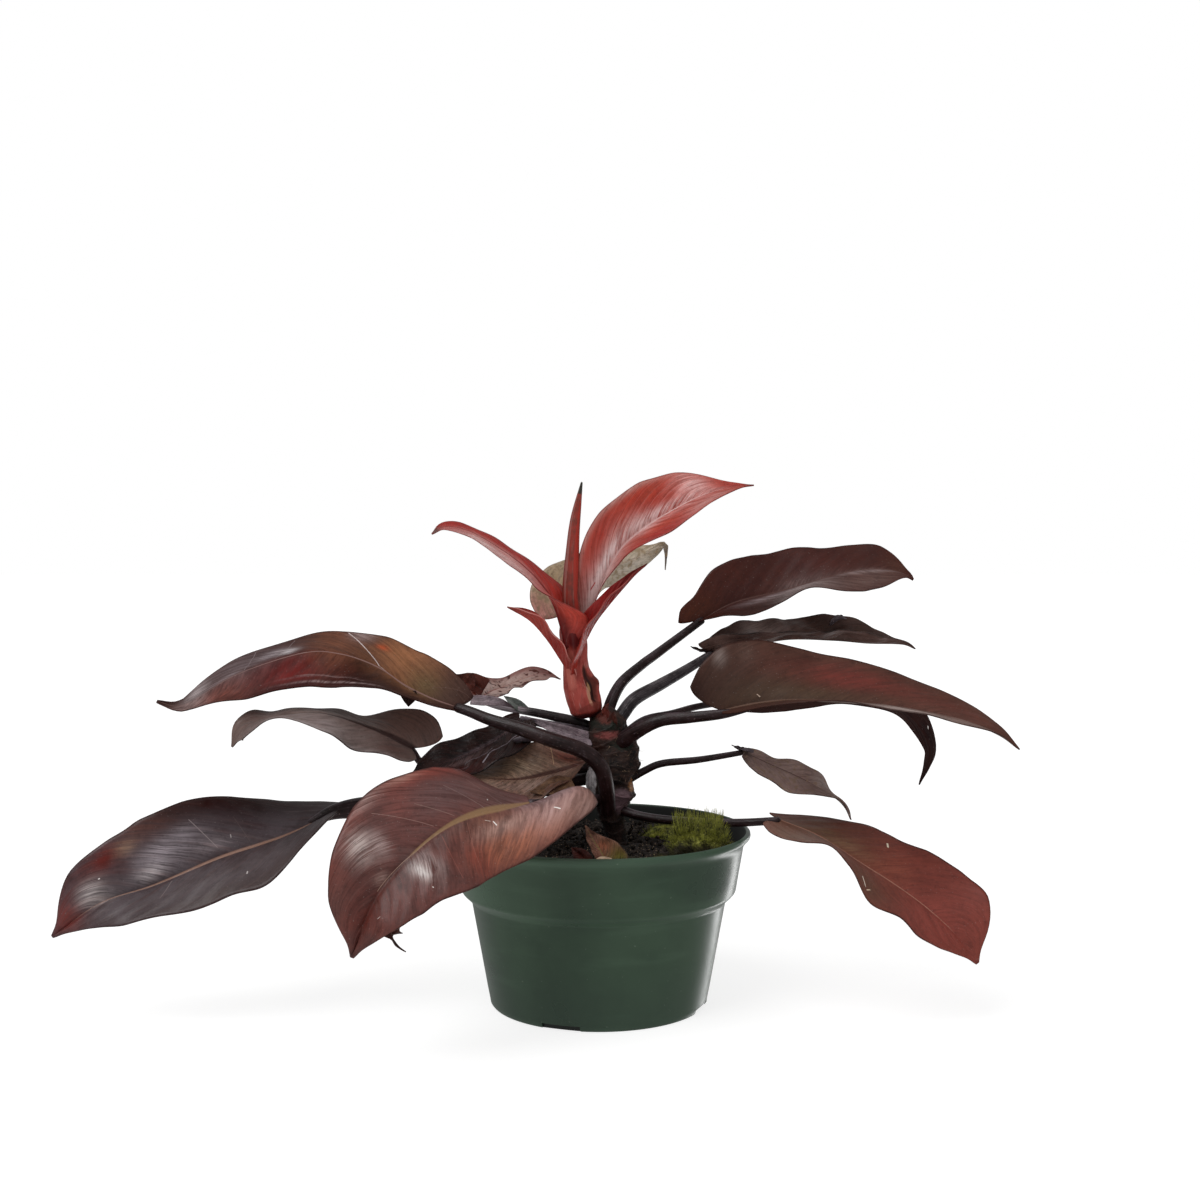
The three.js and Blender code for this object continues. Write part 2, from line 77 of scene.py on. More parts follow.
def lineAt(points, share):
    # places and directions along a smooth line, by length, and the length itself
    fine = smoothAt(points, np.linspace(0, 1, 500))
    steps = np.linalg.norm(np.diff(fine, axis=0), axis=1)
    length = np.r_[0, np.cumsum(steps)] / steps.sum()
    way = unit(np.gradient(fine, axis=0))
    return readTable(share, length, fine), unit(readTable(share, length, way)), steps.sum()


def wrapped(turn):
    # the same turn, between minus and plus half a circle
    return np.angle(np.exp(1j * turn))


def turnGap(angle, degrees):
    # the shortest turn between two directions, in degrees
    return np.degrees(wrapped(angle - np.radians(degrees)))


def roughness(points, size, seed):
    # soft random heights, about -1 to 1, for bumps in the mesh itself
    shift = Vector((seed * 3.7, seed * 1.9, seed * 5.3))
    return np.array([noise.noise(Vector(p) / size + shift) for p in points])


def deselect():
    if bpy.context.mode != "OBJECT":
        bpy.ops.object.mode_set(mode="OBJECT")
    bpy.ops.object.select_all(action="DESELECT")


def choose(piece):
    deselect()
    piece.select_set(True)
    bpy.context.view_layer.objects.active = piece


def named(name):
    # the object that was just added, under its own name
    piece = bpy.context.object
    piece.name = piece.data.name = name
    return piece


def applyAll(piece):
    choose(piece)
    for modifier in list(piece.modifiers):
        bpy.ops.object.modifier_apply(modifier=modifier.name)


def getPoints(piece):
    points = np.empty(len(piece.data.vertices) * 3)
    piece.data.vertices.foreach_get("co", points)
    return points.reshape(-1, 3)


def setPoints(piece, points):
    piece.data.vertices.foreach_set("co", np.asarray(points, float).ravel())
    piece.data.update()


def newBall(name, fineness):
    deselect()
    bpy.ops.mesh.primitive_ico_sphere_add(subdivisions=fineness, radius=1)
    return named(name)


def newGrid(name, rows, columns):
    # a unit grid whose x runs along the piece and y across it
    deselect()
    bpy.ops.mesh.primitive_grid_add(x_subdivisions=rows, y_subdivisions=columns, size=1, calc_uvs=True)
    piece = named(name)
    flat = getPoints(piece)
    return piece, flat[:, 0] + 0.5, flat[:, 1] + 0.5


def setUv(piece, u, v):
    corners = np.empty(len(piece.data.loops), int)
    piece.data.loops.foreach_get("vertex_index", corners)
    piece.data.uv_layers[0].data.foreach_set("uv", np.stack([u[corners], v[corners]], axis=-1).ravel())


def closeUp(piece):
    # joins the seam and the poles, then turns all faces outwards
    choose(piece)
    bpy.ops.object.mode_set(mode="EDIT")
    bpy.ops.mesh.select_all(action="SELECT")
    bpy.ops.mesh.remove_doubles(threshold=2e-6)
    bpy.ops.mesh.normals_make_consistent(inside=False)
    bpy.ops.object.mode_set(mode="OBJECT")


def dress(piece, finishes, slot, *nodes):
    # materials, smooth faces, the body it rides on and the CAD node it stands for
    piece.data.materials.clear()
    for finish in finishes:
        piece.data.materials.append(finish)
    choose(piece)
    bpy.ops.object.shade_smooth()
    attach(piece, "root")
    if nodes:
        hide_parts(*nodes)
    return piece


def tube(name, line, radii, sides, rows, roundShare, shape):
    # a closed round piece along a smooth line in mm, each end rounded over a share of the length;
    # shape gives the radius a factor from place along and angle
    piece, u, v = newGrid(name, rows, sides)
    even = np.linspace(0, 1, 241)
    centres, ways, _ = lineAt(np.array(line, float) / 1000, even)
    sideways = np.zeros_like(ways)
    start = np.cross(ways[0], [0, 0, 1])
    sideways[0] = unit(start) if np.linalg.norm(start) > 0.1 else [1, 0, 0]
    for k in range(1, len(even)):
        sideways[k] = unit(sideways[k - 1] - ways[k] * (sideways[k - 1] @ ways[k]))
    centre = readTable(u, even, centres)
    way, side = unit(readTable(u, even, ways)), unit(readTable(u, even, sideways))
    top = np.cross(side, way)
    angle = 2 * math.pi * v
    end = np.clip(np.minimum(u, 1 - u) / roundShare, 0, 1)
    radius = smoothAt(radii, u) / 1000 * np.sqrt(1 - (1 - end) ** 2) * shape(u, angle)
    points = centre + side * (radius * np.cos(angle))[:, None]
    setPoints(piece, points + top * (radius * np.sin(angle))[:, None])
    setUv(piece, u, v)
    closeUp(piece)
    return piece


def ringStack(name, profile, sides):
    # a circle extruded ring by ring through (radius, height) pairs in mm, then its two open rings filled
    deselect()
    radius, height = profile[0]
    bpy.ops.mesh.primitive_circle_add(vertices=sides, radius=radius / 1000, location=(0, 0, 0),
                                      fill_type="NOTHING")
    piece = named(name)
    setPoints(piece, getPoints(piece) + [0, 0, height / 1000])
    bpy.ops.object.mode_set(mode="EDIT")
    bpy.ops.mesh.select_all(action="SELECT")
    for (r0, z0), (r1, z1) in zip(profile, profile[1:]):
        bpy.ops.mesh.extrude_edges_move(TRANSFORM_OT_translate={"value": (0, 0, (z1 - z0) / 1000)})
        bpy.ops.transform.resize(value=(r1 / r0, r1 / r0, 1), center_override=(0, 0, z1 / 1000))
    closeUp(piece)
    bpy.ops.object.mode_set(mode="EDIT")
    bpy.ops.mesh.select_all(action="DESELECT")
    bpy.ops.mesh.select_mode(type="EDGE")
    bpy.ops.mesh.select_non_manifold()
    bpy.ops.mesh.fill_holes(sides=0)
    bpy.ops.object.mode_set(mode="OBJECT")
    return piece


def strandShape(name):
    # a thin bent three-sided strand, 1 long, to copy from
    deselect()
    bpy.ops.mesh.primitive_cone_add(vertices=3, radius1=0.04, radius2=0.008, depth=1, location=(0, 0, 0.5))
    piece = named(name)
    bpy.ops.object.transform_apply(location=True, rotation=False, scale=False)
    bpy.ops.object.mode_set(mode="EDIT")
    bpy.ops.mesh.select_all(action="SELECT")
    for height in (0.33, 0.66):
        bpy.ops.mesh.bisect(plane_co=(0, 0, height), plane_no=(0, 0, 1))
        bpy.ops.mesh.select_all(action="SELECT")
    bpy.ops.mesh.quads_convert_to_tris()
    bpy.ops.object.mode_set(mode="OBJECT")
    points = getPoints(piece)
    points[:, 0] += 0.28 * points[:, 2] ** 2
    setPoints(piece, points)
    return piece


def scatter(name, source, places):
    # copies of one small mesh as one piece, each with its own place, size, turn and material number
    base = getPoints(source)
    faces = np.array([list(p.vertices) for p in source.data.polygons])
    allPoints, allFaces, allMarks = [], [], []
    for n, (at, size, turn, mark) in enumerate(places):
        allPoints.append((base * size) @ np.array(turn.to_matrix()).T + at)
        allFaces.append(faces + n * len(base))
        allMarks += [mark] * len(faces)
    mesh = bpy.data.meshes.new(name)
    mesh.from_pydata(np.concatenate(allPoints).tolist(), [], np.concatenate(allFaces).tolist())
    mesh.polygons.foreach_set("material_index", allMarks)
    piece = bpy.data.objects.new(name, mesh)
    bpy.context.scene.collection.objects.link(piece)
    bpy.data.objects.remove(source)
    return piece


# materials

class Wire:
    # one output of a material's node, so that shader maths reads as plain sums
    def __init__(self, paint, socket):
        self.paint = paint
        self.socket = socket

    def __add__(self, other):
        return self.paint.maths("ADD", self, other)

    def __sub__(self, other):
        return self.paint.maths("SUBTRACT", self, other)

    def __rsub__(self, other):
        return self.paint.maths("SUBTRACT", other, self)

    def __mul__(self, other):
        return self.paint.maths("MULTIPLY", self, other)

    def __truediv__(self, other):
        return self.paint.maths("DIVIDE", self, other)

    def __pow__(self, other):
        return self.paint.maths("POWER", self, other)

    __radd__ = __add__
    __rmul__ = __mul__


class Paint:
    # a Principled material; plain values go straight to its sockets, and its colour is laid on in layers
    def __init__(self, name, values, lit=1.0, veil=0.0):
        self.lit, self.veil = lit, veil
        self.material = bpy.data.materials.new(name)
        self.material.use_nodes = True
        self.tree = self.material.node_tree
        self.shader = self.tree.nodes["Principled BSDF"]
        self.feed(values)

    def feed(self, values, node=None):
        for key, value in values.items():
            socket = (node or self.shader).inputs[key]
            if isinstance(value, Wire):
                self.tree.links.new(value.socket, socket)
            else:
                socket.default_value = value

    def node(self, kind, settings=None, values=None, output=0):
        made = self.tree.nodes.new(kind)
        for key, value in (settings or {}).items():
            setattr(made, key, value)
        self.feed(values or {}, made)
        return Wire(self, made.outputs[output])

    def maths(self, operation, first, second=0.0):
        return self.node("ShaderNodeMath", {"operation": operation}, {0: first, 1: second})

    def place(self):
        # the place in the object's own metres, whole and as x, y and z
        whole = self.node("ShaderNodeTexCoord", output=3)
        return whole, *self.split(whole)

    def uv(self):
        return self.split(self.node("ShaderNodeTexCoord", output=2))[:2]

    def split(self, vector):
        first = self.node("ShaderNodeSeparateXYZ", None, {0: vector})
        return [Wire(self, socket) for socket in first.socket.node.outputs]

    def join(self, x, y, z):
        return self.node("ShaderNodeCombineXYZ", None, {0: x, 1: y, 2: z})

    def grain(self, vector, scale, detail, rough):
        return self.node("ShaderNodeTexNoise", None,
                         {"Vector": vector, "Scale": scale, "Detail": detail, "Roughness": rough})

    def cells(self, vector, scale, feature="F1"):
        return self.node("ShaderNodeTexVoronoi", {"feature": feature}, {"Vector": vector, "Scale": scale})

    def fade(self, value, low, high, start=0.0, end=1.0):
        return self.node("ShaderNodeMapRange", {"interpolation_type": "SMOOTHSTEP"},
                         {0: value, 1: low, 2: high, 3: start, 4: end})

    def mix(self, share, first, second, how="MIX"):
        asColour = lambda c: c if isinstance(c, Wire) else toLinear(c, self.lit, self.veil)
        return self.node("ShaderNodeMix", {"data_type": "RGBA", "blend_type": how},
                         {0: share, 6: asColour(first), 7: asColour(second)}, 2)

    def layer(self, share, tone, how="MIX"):
        # one more tone over the colour so far
        self.colour = self.mix(share, self.colour, tone, how)

    def bump(self, height, strength, distance):
        return self.node("ShaderNodeBump", None,
                         {"Strength": strength, "Distance": distance, "Height": height})

    def finish(self, values):
        self.feed({"Base Color": self.colour, **values})
        return self.material


def grainFinish(name, rough, scale, detail, tones, high=0.65, bump=0.0):
    # two tones in one even grain
    paint = Paint(name, {"Roughness": rough})
    grain = paint.grain(paint.place()[0], scale, detail, 0.6)
    paint.colour = paint.mix(paint.fade(grain, 0.35, high), *tones)
    return paint.finish({"Normal": paint.bump(grain, bump, 0.0005)} if bump else {})


def layZone(paint, along, across, uneven, streaks, zone):
    # a soft uneven patch of one tone, broken into streaks as far as streaky says; many pale streaky patches
    # are painted highlights and sheen, the rest the leaf's own colours
    at, off, halfAlong, halfAcross, tone, strength, streaky = zone
    dx = (along - at) / halfAlong
    dy = (across - off) / halfAcross
    mask = paint.maths("EXPONENT", (dx * dx + dy * dy + uneven) * -1)
    if streaky:
        mask = mask * paint.fade(streaks, 0.5 - 0.14 * streaky, 0.6, 1 - streaky, 1)
    paint.layer(paint.maths("MINIMUM", mask * strength, 1.0), tone)


def layMark(paint, along, across, fine, mark):
    # a fine line from one place on the blade to another: a scar, a vein, a speck or a painted highlight
    # along a fold
    a0, c0, a1, c1, width, tone, strength = mark
    broad = 0.35  # half the width of a common blade, as a share of its length
    ex, ey = a1 - a0, (c1 - c0) * broad
    dx, dy = along - a0, (across - c0) * broad
    share = paint.maths("MAXIMUM", (dx * ex + dy * ey) / max(ex * ex + ey * ey, 1e-8), 0.0)
    share = paint.maths("MINIMUM", share, 1.0)
    gapX, gapY = dx - share * ex, dy - share * ey
    gap = (gapX * gapX + gapY * gapY) ** 0.5 + (fine - 0.5) * width * 1.6
    paint.layer(paint.fade(gap, width * 1.2, width * 0.4) * strength, tone)


def leafFinish(name, look, seed):
    # a leaf's skin: mottled ground, zones, streaks, veins, marks, midrib, edge, spots and dust; some zones
    # and marks are painted highlights and sheen
    paint = Paint(name, {"Coat Weight": look["shine"] * 0.24, "Coat Roughness": 0.2,
                         "Specular IOR Level": look["shine"]}, look["lit"], look["veil"])
    along, v = paint.uv()
    across = v * 2 - 1
    out = paint.maths("ABSOLUTE", across)
    far = paint.fade(across, -0.01, 0.01)
    place = paint.place()[0]
    clouds = paint.grain(place, 60, 4, 0.65)
    patches = paint.grain(place, 26, 3, 0.6)
    # lateral veins leave the midrib and sweep towards the tip, a little unevenly
    nearBend, farBend = look["bend"]
    slant = along - (out ** 1.25) * (far * (farBend - nearBend) + nearBend) + far * 0.013
    slant = slant + (patches - 0.5) * 0.05 + (clouds - 0.5) * 0.012
    fine = paint.grain(paint.join(slant * 110, across * 2.8, seed), 1, 4, 0.65)
    broad = paint.grain(paint.join(slant * 30, across * 2.0, seed + 9), 1, 3, 0.6)
    wave = paint.maths("COSINE", slant * (look["veins"] * 2 * math.pi)) * 0.5 + 0.5
    veinMask = (wave ** 14) * (1 - out * 0.6) * paint.fade(clouds, 0.35, 0.6)
    mottle = clouds * 0.4 + broad * 0.35 + patches * 0.25
    paint.colour = paint.mix(paint.fade(mottle, 0.4, 0.62), look["base"], look["second"])
    uneven = (clouds - 0.5) * 1.3 + (patches - 0.5) * 1.5
    streaks = fine * 0.55 + broad * 0.3 + clouds * 0.15
    for zone in look["zones"]:
        layZone(paint, along, across, uneven, streaks, zone)
    paint.layer(paint.fade(fine, 0.4, 0.8) * look["streak"], (255, 238, 236), "SOFT_LIGHT")
    paint.layer(paint.fade(broad, 0.55, 0.35) * look["streak"], (40, 20, 20), "MULTIPLY")
    paint.layer(veinMask * look["veinStrength"], look["vein"])
    # small uneven grain over all
    tooth = paint.grain(place, 430, 3, 0.7) * 0.6 + fine * 0.4
    paint.layer(paint.fade(tooth, 0.5, 0.36) * look["tooth"], (60, 36, 34), "MULTIPLY")
    paint.layer(paint.fade(tooth, 0.52, 0.68) * look["tooth"], (255, 240, 236), "SOFT_LIGHT")
    for mark in look["marks"]:
        layMark(paint, along, across, fine, mark)
    ribShare = paint.fade(along, 0, look["ribEnd"], look["ribWidth"], look["ribWidth"] * 0.22)
    ribMask = 1 - paint.fade(out / ribShare, 0.55, 1.15)
    ribMask = ribMask * paint.fade(along, look["ribEnd"], look["ribEnd"] + 0.06, 1, 0)
    paint.layer(ribMask * 0.8, look["rib"])
    paint.layer(paint.fade(out, 0.965, 0.995) * paint.fade(clouds, 0.3, 0.6, 0.3, 0.8), look["edge"])
    if look["spots"]:
        spotColour, spotScale, low, high = look["spots"]
        paint.layer(paint.fade(paint.grain(place, spotScale, 1, 0.4), low, high), spotColour)
    specks = paint.grain(place, 1300, 0, 0.5)
    paint.layer(paint.fade(specks, 0.77, 0.82) * look["dust"], (205, 198, 192))
    height = fine * 0.25 + broad * 0.45 - veinMask * 0.4 + clouds * 0.5
    if look["wrinkle"]:
        folds = paint.cells(paint.join(along * 9, across * 2.2, seed), 1.6, "SMOOTH_F1")
        height = height + folds * look["wrinkle"]
    gloss = look["gloss"]
    return paint.finish({
        "Roughness": paint.fade(fine * 0.3 + clouds * 0.7, 0.3, 0.7, gloss - 0.08, gloss + 0.14),
        "Normal": paint.bump(height, look["bump"], 0.0009),
    })


def stalkFinish(name, base, second, sheen, gloss, farTone=None):
    # fine lines run along the stalk; farTone is what its far end fades into
    paint = Paint(name, {"Coat Weight": 0.08, "Coat Roughness": 0.25, "Specular IOR Level": 0.3},
                  1.25, 0.012)
    u, v = paint.uv()
    place = paint.place()[0]
    lines = paint.grain(paint.join(u * 7, v * 40, 3.0), 1, 3, 0.6)
    clouds = paint.grain(place, 110, 4, 0.65)
    tooth = paint.grain(place, 480, 3, 0.7)
    specks = paint.grain(place, 900, 0, 0.5)
    paint.colour = paint.mix(paint.fade(lines * 0.5 + clouds * 0.5, 0.38, 0.64), base, second)
    # a painted lilac highlight lies along the upper side only
    upper = paint.maths("EXPONENT", ((v - 0.25) / 0.13) ** 2 * -1)
    paint.layer(upper * paint.fade(lines * 0.4 + clouds * 0.6, 0.4, 0.62) * 0.8, sheen)
    # and painted sheen in fine flecks all over
    paint.layer(paint.fade(tooth * 0.6 + lines * 0.4, 0.54, 0.66) * 0.45, sheen)
    if farTone:
        paint.layer(paint.fade(u + (lines - 0.5) * 0.3, 0.5, 0.72) * 0.9, farTone)
        paint.layer(paint.fade(lines, 0.5, 0.42) * 0.7, base)
    paint.layer(paint.fade(specks, 0.78, 0.82) * 0.3, (150, 130, 120))
    return paint.finish({
        "Roughness": paint.fade(clouds, 0.3, 0.7, gloss - 0.06, gloss + 0.14),
        "Normal": paint.bump(lines * 0.6 + clouds * 0.6, 0.5, 0.0008),
    })


# camera, light and floor

def newLamp(name, kind, place, aim, strength):
    lamp = bpy.data.objects.new(name, bpy.data.lights.new(name, kind))
    bpy.context.scene.collection.objects.link(lamp)
    lamp.data.energy = strength
    lamp.location = Vector(place)
    lamp.rotation_euler = (Vector(place) - Vector(aim)).to_track_quat("Z", "Y").to_euler()
    return lamp


view = {"at": (0.0007, -0.8813, 0.2615), "tilt": 87.25, "lens": 48.87, "sensor": 36}
camera = bpy.data.objects.new("camera", bpy.data.cameras.new("camera"))
bpy.context.scene.collection.objects.link(camera)
camera.location = view["at"]
camera.rotation_euler = (math.radians(view["tilt"]), 0, 0)
camera.data.lens = view["lens"]
camera.data.sensor_width = view["sensor"]
camera.data.clip_end = 50
bpy.context.scene.camera = camera

skies = {
    "skyLeft": {"from": (-0.5, -0.45, 1.0), "strength": 1.5, "spread": 40, "shine": True},
    "skyRight": {"from": (0.6, -0.5, 1.0), "strength": 0.9, "spread": 90, "shine": False},
}
for skyName, sky in skies.items():
    sun = newLamp(skyName, "SUN", sky["from"], (0, 0, 0), sky["strength"])
    sun.data.angle = math.radians(sky["spread"])
    sun.visible_glossy = sky["shine"]

# a soft box low behind the right side, seen only as a reflection on the pot
boxLight = {"at": (1.0, 1.35, -0.6), "aim": (0, 0, 0.1), "size": (0.3, 1.0), "strength": 3.6}
sideBox = newLamp("sideBox", "AREA", boxLight["at"], boxLight["aim"], boxLight["strength"])
sideBox.data.shape = "RECTANGLE"
sideBox.data.size, sideBox.data.size_y = boxLight["size"]
sideBox.visible_diffuse = False
sideBox.visible_camera = False

# the backdrop looks white, and lights the plant a good deal less than it shows
backdropLevel = {"To Min": 0.3, "To Max": 1.0}
world = bpy.data.worlds.new("studio")
bpy.context.scene.world = world
world.use_nodes = True
backdrop = world.node_tree.nodes["Background"]
backdrop.inputs["Color"].default_value = (1, 1, 1, 1)
seen = world.node_tree.nodes.new("ShaderNodeLightPath")
level = world.node_tree.nodes.new("ShaderNodeMapRange")
for socketName, share in backdropLevel.items():
    level.inputs[socketName].default_value = share
world.node_tree.links.new(seen.outputs["Is Camera Ray"], level.inputs["Value"])
world.node_tree.links.new(level.outputs["Result"], backdrop.inputs["Strength"])
bpy.context.scene.view_settings.view_transform = "Standard"

deselect()
bpy.ops.mesh.primitive_plane_add(size=14, location=(0, 0, 0))
floor = named("floor")
floorPaint = Paint("paleFloor", {"Base Color": (0.36, 0.36, 0.36, 1), "Roughness": 0.95,
                                 "Emission Color": (1, 1, 1, 1), "Emission Strength": 0.78})
floor.data.materials.append(floorPaint.material)
floor.visible_glossy = False
floor.visible_shadow = False
print("camera, light and floor set")


# the nursery pot: a ring of edges drawn up and inwards step by step, in mm

pot = {
    "sides": 144,
    "profile": [(40, 0.6), (56, 0), (58.2, 0.3), (59.1, 1.4), (59.4, 3.4), (60.7, 10), (64.3, 30),
                (69.1, 56.4), (69.4, 57.2), (70.2, 58), (73.6, 61.2), (74.3, 62), (74.7, 63), (76.2, 72),
                (77.6, 80), (78.6, 86), (79.2, 88), (81.1, 90.2), (82.2, 91.4), (82.5, 92.4), (82.3, 93.6),
                (81.6, 94.3), (80.8, 94.5), (80, 94), (79.3, 92.6), (77.6, 87), (76.1, 79.6), (74.6, 71),
                (73, 63), (72.6, 62.2), (68, 57.4), (62.6, 30), (58, 5), (55.4, 2.2), (40, 2)],
    "notches": 4, "notchFirst": -109.5, "notchOut": 59.2, "notchWide": 21, "notchDeep": 6, "notchHigh": 3,
    "crease": 32,
}


def plasticFinish():
    # green plastic, darker towards the foot, with painted highlights on the lip and the left of the collar,
    # painted shade along the collar step and in the notch roofs, and painted shade inside, where it is
    # nearly black and dull
    paint = Paint("greenPlastic", {"Coat Weight": 0.1, "Coat Roughness": 0.3})
    place, x, y, z = paint.place()
    fromAxis = (x * x + y * y) ** 0.5
    clouds = paint.grain(place, 18, 4, 0.6)
    smears = paint.grain(paint.join(x * 14, y * 14, z * 90), 1, 3, 0.6)
    dust = paint.grain(place, 700, 1, 0.5)
    lip, foot = paint.fade(z, 0.0885, 0.0925), paint.fade(z, 0.05, 0.0)
    collarShadeLine = 1 - paint.fade(paint.maths("ABSOLUTE", z - 0.0603), 0.0001, 0.0006)
    notchRoofShade = paint.fade(z, 0.0036, 0.003) * paint.fade(fromAxis, 0.0584, 0.0576)
    litLeftCollar = paint.fade(x, -0.01, -0.06) * paint.fade(z, 0.05, 0.07)
    inside = paint.fade(fromAxis - z * 0.22, 0.0597, 0.0591) * paint.fade(z, 0.074, 0.078)
    paint.colour = paint.mix(paint.fade(clouds, 0.3, 0.7), (34, 52, 38), (45, 66, 48))
    paint.layer(paint.fade(smears, 0.5, 0.75) * 0.3, (64, 88, 68))
    # a painted highlight along the lip, and the wall darker towards the foot
    paint.layer(lip * 0.3, (74, 98, 80))
    paint.layer(foot * 0.4, (40, 56, 45))
    # painted shade along the collar step and under the notch roofs
    paint.layer(collarShadeLine * 0.5, (38, 54, 44))
    paint.layer(notchRoofShade, (12, 17, 13))
    # a painted highlight on the left side of the collar
    paint.layer(litLeftCollar * 0.6, (68, 92, 72))
    paint.layer(paint.fade(dust, 0.74, 0.8) * 0.25, (120, 134, 118))
    # painted shade: the inside wall nearly black
    paint.layer(inside, paint.mix(paint.fade(smears, 0.4, 0.65), (9, 12, 10), (18, 23, 19)))
    return paint.finish({
        "Roughness": paint.fade(clouds, 0.3, 0.7, 0.26, 0.38) + inside * 0.5,
        "Coat Weight": 0.1 - inside * 0.1,
    })


potShell = ringStack("potShell", pot["profile"], pot["sides"])
closeUp(potShell)
for k in range(pot["notches"]):
    angle = math.radians(pot["notchFirst"] + 360 / pot["notches"] * k)
    out = pot["notchOut"] / 1000
    deselect()
    bpy.ops.mesh.primitive_cube_add(
        size=1, location=(out * math.cos(angle), out * math.sin(angle), 0), rotation=(0, 0, angle),
        scale=(pot["notchDeep"] / 1000, pot["notchWide"] / 1000, 2 * pot["notchHigh"] / 1000))
    cutter = bpy.context.object
    bite = potShell.modifiers.new("notch", "BOOLEAN")
    bite.operation = "DIFFERENCE"
    bite.object = cutter
    applyAll(potShell)
    bpy.data.objects.remove(cutter)
dress(potShell, [plasticFinish()], "pot", "pot")
bpy.ops.object.shade_smooth_by_angle(angle=math.radians(pot["crease"]))
print("pot made")


# potting mix: a filled disc of rings, lumpy on top, in mm, with crumbs, bark chips and pale beads in metres

mix = {
    "side": [(30, 2.6), (54.6, 2.6), (57.2, 5), (67.2, 57.8), (72.1, 63), (75.2, 80), (75.4, 84)],
    "top": 85.0, "hole": 1.2, "rings": 46, "sides": 120, "lump": 1.5,
}
crumbs = {"count": 900, "chips": 130, "beads": 110, "spread": 0.0735, "level": 0.0851, "mossLevel": 0.0871}


def mixFinish():
    paint = Paint("darkMix", {"Roughness": 0.95})
    place = paint.place()[0]
    grain = paint.grain(place, 330, 5, 0.7)
    paint.colour = paint.mix(paint.fade(grain, 0.35, 0.7), (15, 11, 9), (46, 34, 27))
    paint.layer(paint.fade(paint.grain(place, 900, 1, 0.5), 0.66, 0.74), (150, 128, 104))
    return paint.finish({"Normal": paint.bump(grain * 0.8 + paint.cells(place, 420) * 0.6, 1.0, 0.0016)})


def grainShape(name, seed):
    # one small uneven crumb to copy from
    grainPiece = newBall(name, 1)
    points = getPoints(grainPiece)
    setPoints(grainPiece, points * (1 + 0.35 * roughness(points, 0.7, seed))[:, None])
    return grainPiece


def randomTurn(draw):
    axis = Vector((draw.uniform(-1, 1), draw.uniform(-1, 1), draw.uniform(-1, 1) + 0.01)).normalized()
    return Quaternion(axis, draw.uniform(0, 2 * math.pi))


def crumbPlace(draw, n):
    # place, size, turn and material number of the nth crumb, chip or bead
    reach = crumbs["spread"] * math.sqrt(draw.random())
    turn = draw.uniform(0, 2 * math.pi)
    at = np.array([reach * math.cos(turn), reach * math.sin(turn),
                   crumbs["level"] + draw.uniform(-0.0004, 0.0012)])
    if n < crumbs["count"]:
        size = np.array([1, draw.uniform(0.6, 1), draw.uniform(0.5, 0.9)]) * draw.uniform(0.0008, 0.0021)
        mark = 0 if draw.random() < 0.8 else 1
    elif n < crumbs["count"] + crumbs["chips"]:
        size = np.array([draw.uniform(0.003, 0.0065), draw.uniform(0.0008, 0.0014), 0.0006])
        mark = 1
    else:
        size = np.array([1, 1, 1]) * draw.uniform(0.0006, 0.0014)
        mark = 2
        if n % 2:  # many lie in front of the moss
            at = np.array([draw.uniform(-0.002, 0.046), draw.uniform(-0.05, 0.016), crumbs["mossLevel"]])
            size = size * draw.uniform(1, 1.7)
    return at, size, randomTurn(draw), mark


outRadius = mix["side"][-1][0]
mixTop = [(outRadius - (outRadius - mix["hole"]) * k / mix["rings"], mix["top"])
          for k in range(1, mix["rings"] + 1)]
mixBody = ringStack("mixBody", mix["side"] + mixTop, mix["sides"])
mixPoints = getPoints(mixBody)
onTop = mixPoints[:, 2] > (mix["top"] - 0.5) / 1000
lumps = roughness(mixPoints[onTop], 0.012, 1) * 1.6 + roughness(mixPoints[onTop], 0.005, 2) * 0.9
mixPoints[onTop, 2] += lumps * mix["lump"] / 1000
setPoints(mixBody, mixPoints)
closeUp(mixBody)
mixSkin = mixFinish()
dress(mixBody, [mixSkin], "mix", "potting_mix")

draw = random.Random(11)
crumbPlaces = [crumbPlace(draw, n) for n in range(crumbs["count"] + crumbs["chips"] + crumbs["beads"])]
crumbPiece = scatter("mixCrumbs", grainShape("crumb", 4), crumbPlaces)
chipSkin = grainFinish("barkChip", 0.9, 260, 3, [(58, 40, 30), (112, 84, 62)])
beadSkin = grainFinish("paleBead", 0.85, 500, 3, [(196, 184, 166), (150, 134, 112)])
dress(crumbPiece, [mixSkin, chipSkin, beadSkin], "mix")
print("potting mix made")


# moss: a low lumpy cushion with many short bent strands, in mm

mossTufts = {
    "moss_back": {"centre": (38, 24, 84), "half": (15, 13, 8.5), "strands": 600, "length": (2, 4.5)},
    "moss_clump": {"centre": (54, -27, 85), "half": (18, 15, 18), "strands": 1600, "length": (3, 8)},
    "moss_low_tuft": {"centre": (34, -44, 83.5), "half": (13, 11, 5.5), "strands": 500, "length": (1.5, 3)},
    "moss_front_tuft": {"centre": (14, -58, 83.5), "half": (12, 8, 6), "strands": 300, "length": (2, 4.5)},
}
wisps = {"moss_clump": 380}
# how far out and how low the moss goes, in metres, so that it keeps off the pot's wall
mossOut = {"cushion": 0.0752, "root": 0.0745, "tip": 0.0762, "wisp": 0.071}
mossLow = {"cushion": 0.0825, "strand": 0.0845}


def mossFinish(name, dark, light, straw):
    paint = Paint(name, {"Roughness": 0.9})
    place, x, y, z = paint.place()
    clouds = paint.grain(place, 150, 4, 0.7)
    fine = paint.grain(place, 900, 2, 0.6)
    paint.colour = paint.mix(paint.fade(clouds, 0.35, 0.62), dark, light)
    paint.layer(paint.fade(fine, 0.5, 0.7) * 0.7, straw)
    # the moss is brown and dark low down at its front
    height = z + y * 0.25 + (clouds - 0.5) * 0.005
    paint.layer(paint.fade(height, 0.0865, 0.081) * 0.85, (36, 28, 18))
    return paint.finish({"Normal": paint.bump(fine, 0.8, 0.001)})


